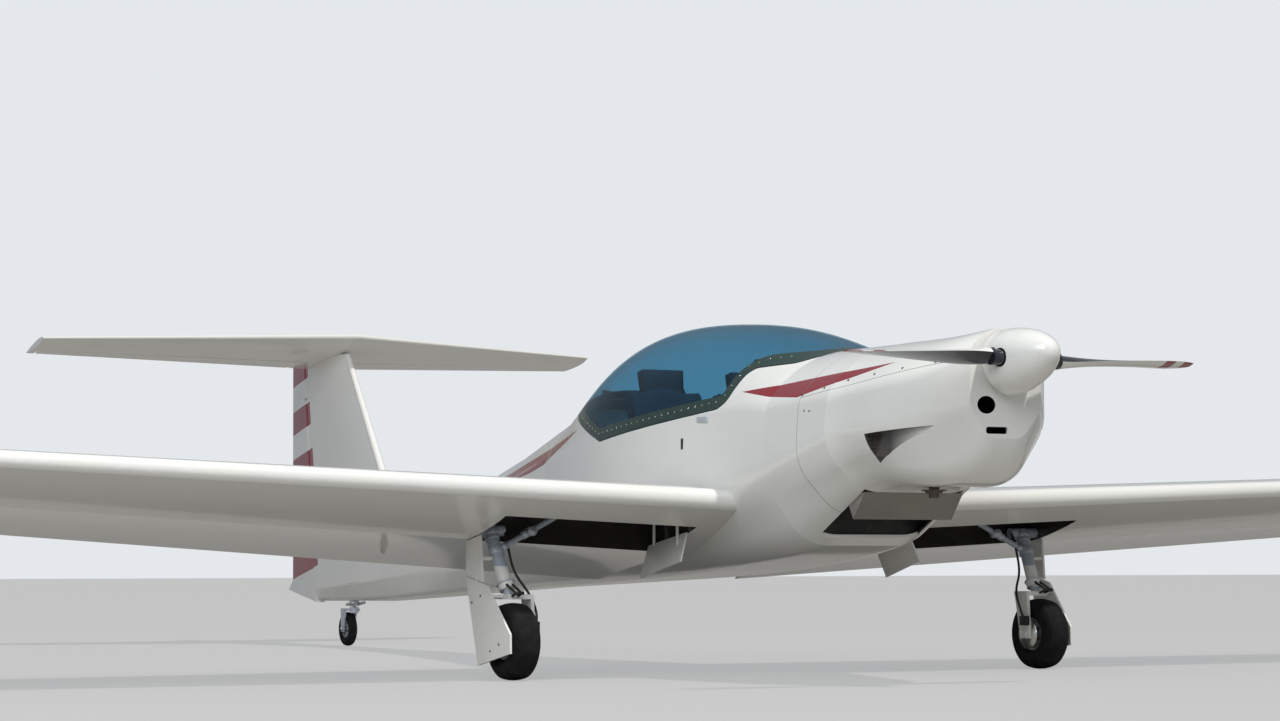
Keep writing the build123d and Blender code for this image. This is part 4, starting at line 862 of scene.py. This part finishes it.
# Each collar on a strut: its fall from the top, its radius and its height
COLLARS = [(0.015, 0.037, 0.018), (0.045, 0.033, 0.01), (0.095, 0.034, 0.03), (0.262, 0.041, 0.006)]
KNEE = Vector((1.395, aft(-0.062), 0.372))
LINK_TOP = LEG_LOW - down * 0.02 + Vector((0, -0.036, 0))
LINK_FOOT = Vector((1.39, aft(0.0), 0.352))
LINK_HALF = 0.014
BRACE_TOP = LEG_TOP + down * 0.110
WHEEL_HEIGHT = 0.165
DISC_INNER, DISC_HUB = 1.3185, 1.3235
CALLIPER_PLACE = (1.291, aft(-0.012), 0.228)
HOSE_RUN = [
    (1.352, aft(0.165), 0.640), (1.35, aft(0.13), 0.56), (1.338, aft(0.09), 0.46),
    (1.288, aft(0.045), 0.36), (1.278, aft(0.005), 0.29), (1.284, aft(-0.012), 0.243),
]
HOSE_RADIUS = 0.0055
DOOR_HEAD = (0.006, 0.003, 0.0045)
DOOR_BOLTS = [(0.15, 0.13), (0.02, 0.125), (-0.05, 0.155), (0.10, 0.36), (0.17, 0.33)]

for side, word in SIDES:
    rings = bmesh.new()
    for fall, radius, height in COLLARS:
        disc(rings, at(side, LEG_TOP + down * fall), at(side, down), radius, height, segments=32)
    softened(rings, 0.0015, 2)
    finished("strut_collars_" + word, rings, leg_paint, "airframe")

    links = bmesh.new()
    knee = at(side, KNEE)
    for start in (at(side, LINK_TOP), at(side, LINK_FOOT)):
        reach = knee - start
        for x in (-LINK_HALF, LINK_HALF):
            bmesh.ops.create_cone(
                links, cap_ends=True, segments=10, radius1=0.006, radius2=0.005, depth=reach.length,
                matrix=facing((start + knee) / 2 + Vector((x, 0, 0)), reach),
            )
    disc(links, knee - Vector((0.022, 0, 0)), (1, 0, 0), 0.008, 0.044)
    finished("scissor_links_" + word, links, black_plastic, "airframe")

    knuckles = bmesh.new()
    middle = BRACE_TOP.lerp(BRACE_FOOT, 0.42)
    disc(knuckles, at(side, middle - Vector((0, 0.022, 0))), (0, 1, 0), 0.021, 0.044)
    disc(knuckles, at(side, middle - Vector((0, 0.028, 0))), (0, 1, 0), 0.009, 0.056)
    for share in (0.06, 0.32):
        start = BRACE_TOP.lerp(BRACE_FOOT, share)
        disc(knuckles, at(side, start), at(side, BRACE_FOOT) - at(side, BRACE_TOP), 0.0175, 0.03)
    finished("brace_joint_" + word, knuckles, leg_paint, "airframe")

    rotor = bmesh.new()
    disc(rotor, at(side, (DISC_INNER, aft(0), WHEEL_HEIGHT)), (side, 0, 0), 0.070, 0.005, segments=48)
    disc(rotor, at(side, (DISC_HUB, aft(0), WHEEL_HEIGHT)), (side, 0, 0), 0.036, 0.0075, segments=32)
    finished("brake_disc_" + word, rotor, steel, "main_wheel_" + word)

    calliper = bmesh.new()
    slab(calliper, (-0.009, -0.03, -0.022), (0.009, 0.03, 0.022))
    softened(calliper, 0.004)
    calliper.transform(Matrix.Translation(at(side, CALLIPER_PLACE)))
    finished("brake_calliper_" + word, calliper, black_plastic, "airframe")

    run = [at(side, place) for place in HOSE_RUN]
    tube("brake_hose_" + word, run, HOSE_RADIUS, black_plastic, "airframe")

    bolts = bmesh.new()
    door_tree = tree_of("leg_doors_" + word)
    for station, height in DOOR_BOLTS:
        place, normal = from_side(door_tree, side, station, height)
        if place:
            head(bolts, place, normal, DOOR_HEAD)
    finished("door_bolts_" + word, bolts, dark_steel, "airframe")
print("gear dressed")

# %% Tail wheel: the coils of its steering springs, and axle nuts
COILS = 9
SPRING_FRONT = (0.034, aft(4.93), 0.246)
COIL_STEP = Vector((0, -0.012, 0.0015))
AXLE_END = (0.0385, aft(4.99), 0.1)
springs = bmesh.new()
for side in (1, -1):
    for turn in range(COILS):
        disc(springs, at(side, SPRING_FRONT) + COIL_STEP * turn, (0, -1, 0.1), 0.009, 0.007, segments=14)
finished("steering_springs", springs, steel, "airframe")
nuts = bmesh.new()
for side in (1, -1):
    disc(nuts, at(side, AXLE_END), (side, 0, 0), 0.013, 0.008, segments=6)
finished("tail_axle_nuts", nuts, steel, "tail_caster")
print("tail wheel dressed")

# %% [markdown]
# ## Cockpit
# Through tinted glass the eye wants padded seats with straps over them and a few round dials. The seat
# cushions are blown up by a cloth simulation from the CAD seats.

# %% Seats as cloth, blown up inside the CAD seats
VOXEL = 0.012
START_SCALE = 0.965  # the cloth starts a little smaller than the seat, so that it has room to swell
PRESSURE = 4
FRAMES = 20
MOST_MOVED = 0.012
BOX_MARGIN = 0.001
seat_cloth = worn(
    "seat_cloth", (0.055, 0.065, 0.085), 0.9, dirt=0.3, scale=60, relief=0.0008, soiling=NEAR_BLACK
)
dress(seat_cloth, "seat_left", "seat_right")


def cushion(name, node, cap):
    """A padded copy of a CAD seat. Its cloth swells by the cap at most and stays in the seat's box."""
    low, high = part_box(node)
    shape = bmesh.new()
    shape.from_mesh(nodes[node].data)
    bmesh.ops.remove_doubles(shape, verts=shape.verts, dist=0.0001)
    made = finished(name, shape, seat_cloth, "airframe")
    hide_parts(node)
    bpy.context.view_layer.objects.active = made
    remesh = made.modifiers.new("remesh", "REMESH")
    remesh.mode = "VOXEL"
    remesh.voxel_size = VOXEL
    bpy.ops.object.modifier_apply(modifier="remesh")
    middle = (Vector(low) + Vector(high)) / 2
    rest = []
    for vertex in made.data.vertices:
        vertex.co = middle + (vertex.co - middle) * START_SCALE
        rest.append(vertex.co.copy())
    cloth = made.modifiers.new("cloth", "CLOTH")
    cloth.settings.use_pressure = True
    cloth.settings.uniform_pressure_force = PRESSURE
    cloth.settings.effector_weights.gravity = 0
    cloth.settings.quality = 4
    for step in range(1, FRAMES + 1):
        scene.frame_set(step)
    settled = made.evaluated_get(bpy.context.evaluated_depsgraph_get()).data
    moved = [vertex.co.copy() for vertex in settled.vertices]
    made.modifiers.remove(cloth)
    scene.frame_set(1)
    for vertex, start, goal in zip(made.data.vertices, rest, moved):
        shift = goal - start
        if shift.length > cap:
            shift *= cap / shift.length
        for axis in range(3):
            kept = min(max(start[axis] + shift[axis], low[axis] + BOX_MARGIN), high[axis] - BOX_MARGIN)
            shift[axis] = kept - start[axis]
        vertex.co = start + shift
    made.data.polygons.foreach_set("use_smooth", [True] * len(made.data.polygons))
    return made


for side, word in SIDES:
    cushion("seat_cushion_" + word, "seat_" + word, MOST_MOVED)
print("seats ready")

# %% Straps: a fan of rays from in front of each backrest finds the line that a strap lies on
SEAT_MIDDLE, STRAP_OFFSET, STRAP_HALF = 0.24, 0.09, 0.023
STRAP_LIFT, STRAP_THICKNESS = 0.004, 0.002
RAYS_FROM = (aft(0.36), 1.10)
across_strap = Vector((STRAP_HALF, 0, 0))
for side, word in SIDES:
    seat_tree = tree_of("seat_" + word)
    for offset in (-STRAP_OFFSET, STRAP_OFFSET):
        eye = Vector((side * SEAT_MIDDLE + offset, *RAYS_FROM))
        strap = bmesh.new()
        rows = []
        for degrees in range(-42, 62, 4):
            ray = Vector((0, cos(radians(degrees)), sin(radians(degrees))))
            hit, normal, index, distance = seat_tree.ray_cast(eye, ray)
            if hit:
                place = hit + normal * STRAP_LIFT
                edges = (place - across_strap, place + across_strap)
                rows.append([strap.verts.new(edge) for edge in edges])
        for one, two in zip(rows, rows[1:]):
            strap.faces.new((one[0], one[1], two[1], two[0]))
        end_word = "inner" if offset * side < 0 else "outer"
        made = finished(f"strap_{word}_{end_word}", strap, black_plastic, "airframe")
        wall = made.modifiers.new("thickness", "SOLIDIFY")
        wall.thickness = STRAP_THICKNESS
        wall.offset = 0
print("straps laid")

# %% Dials on the instrument panel, each from its X, its height and its radius
DIALS = [
    (-0.34, 1.22, 0.036), (-0.25, 1.24, 0.04), (-0.15, 1.25, 0.04), (-0.05, 1.26, 0.028),
    (0.05, 1.26, 0.028), (0.15, 1.25, 0.04), (0.25, 1.24, 0.04), (0.34, 1.22, 0.036),
    (-0.2, 1.14, 0.036), (0.2, 1.14, 0.036), (0.0, 1.16, 0.05),
]
BEZEL_DEPTH, FACE_DEPTH = 0.008, 0.001
FACE_AHEAD = Vector((0, 0.0082, 0))
panel_tree = tree_of("instrument_panel")
dials = bmesh.new()
faces = bmesh.new()
for x, height, radius in DIALS:
    hit, normal, index, distance = panel_tree.ray_cast(Vector((x, aft(0.1), height)), Vector((0, -1, 0)))
    if hit:
        disc(dials, hit, (0, 1, 0), radius, BEZEL_DEPTH, radius * 0.92, 32)
        disc(faces, hit + FACE_AHEAD, (0, 1, 0), radius * 0.8, FACE_DEPTH, segments=32)
finished("dial_bezels", dials, steel, "airframe")
dial_face = worn("dial_face", (0.35, 0.36, 0.33), 0.4, dirt=0.6, scale=90, soiling=NEAR_BLACK)
finished("dial_faces", faces, dial_face, "airframe")
print("cockpit dressed")
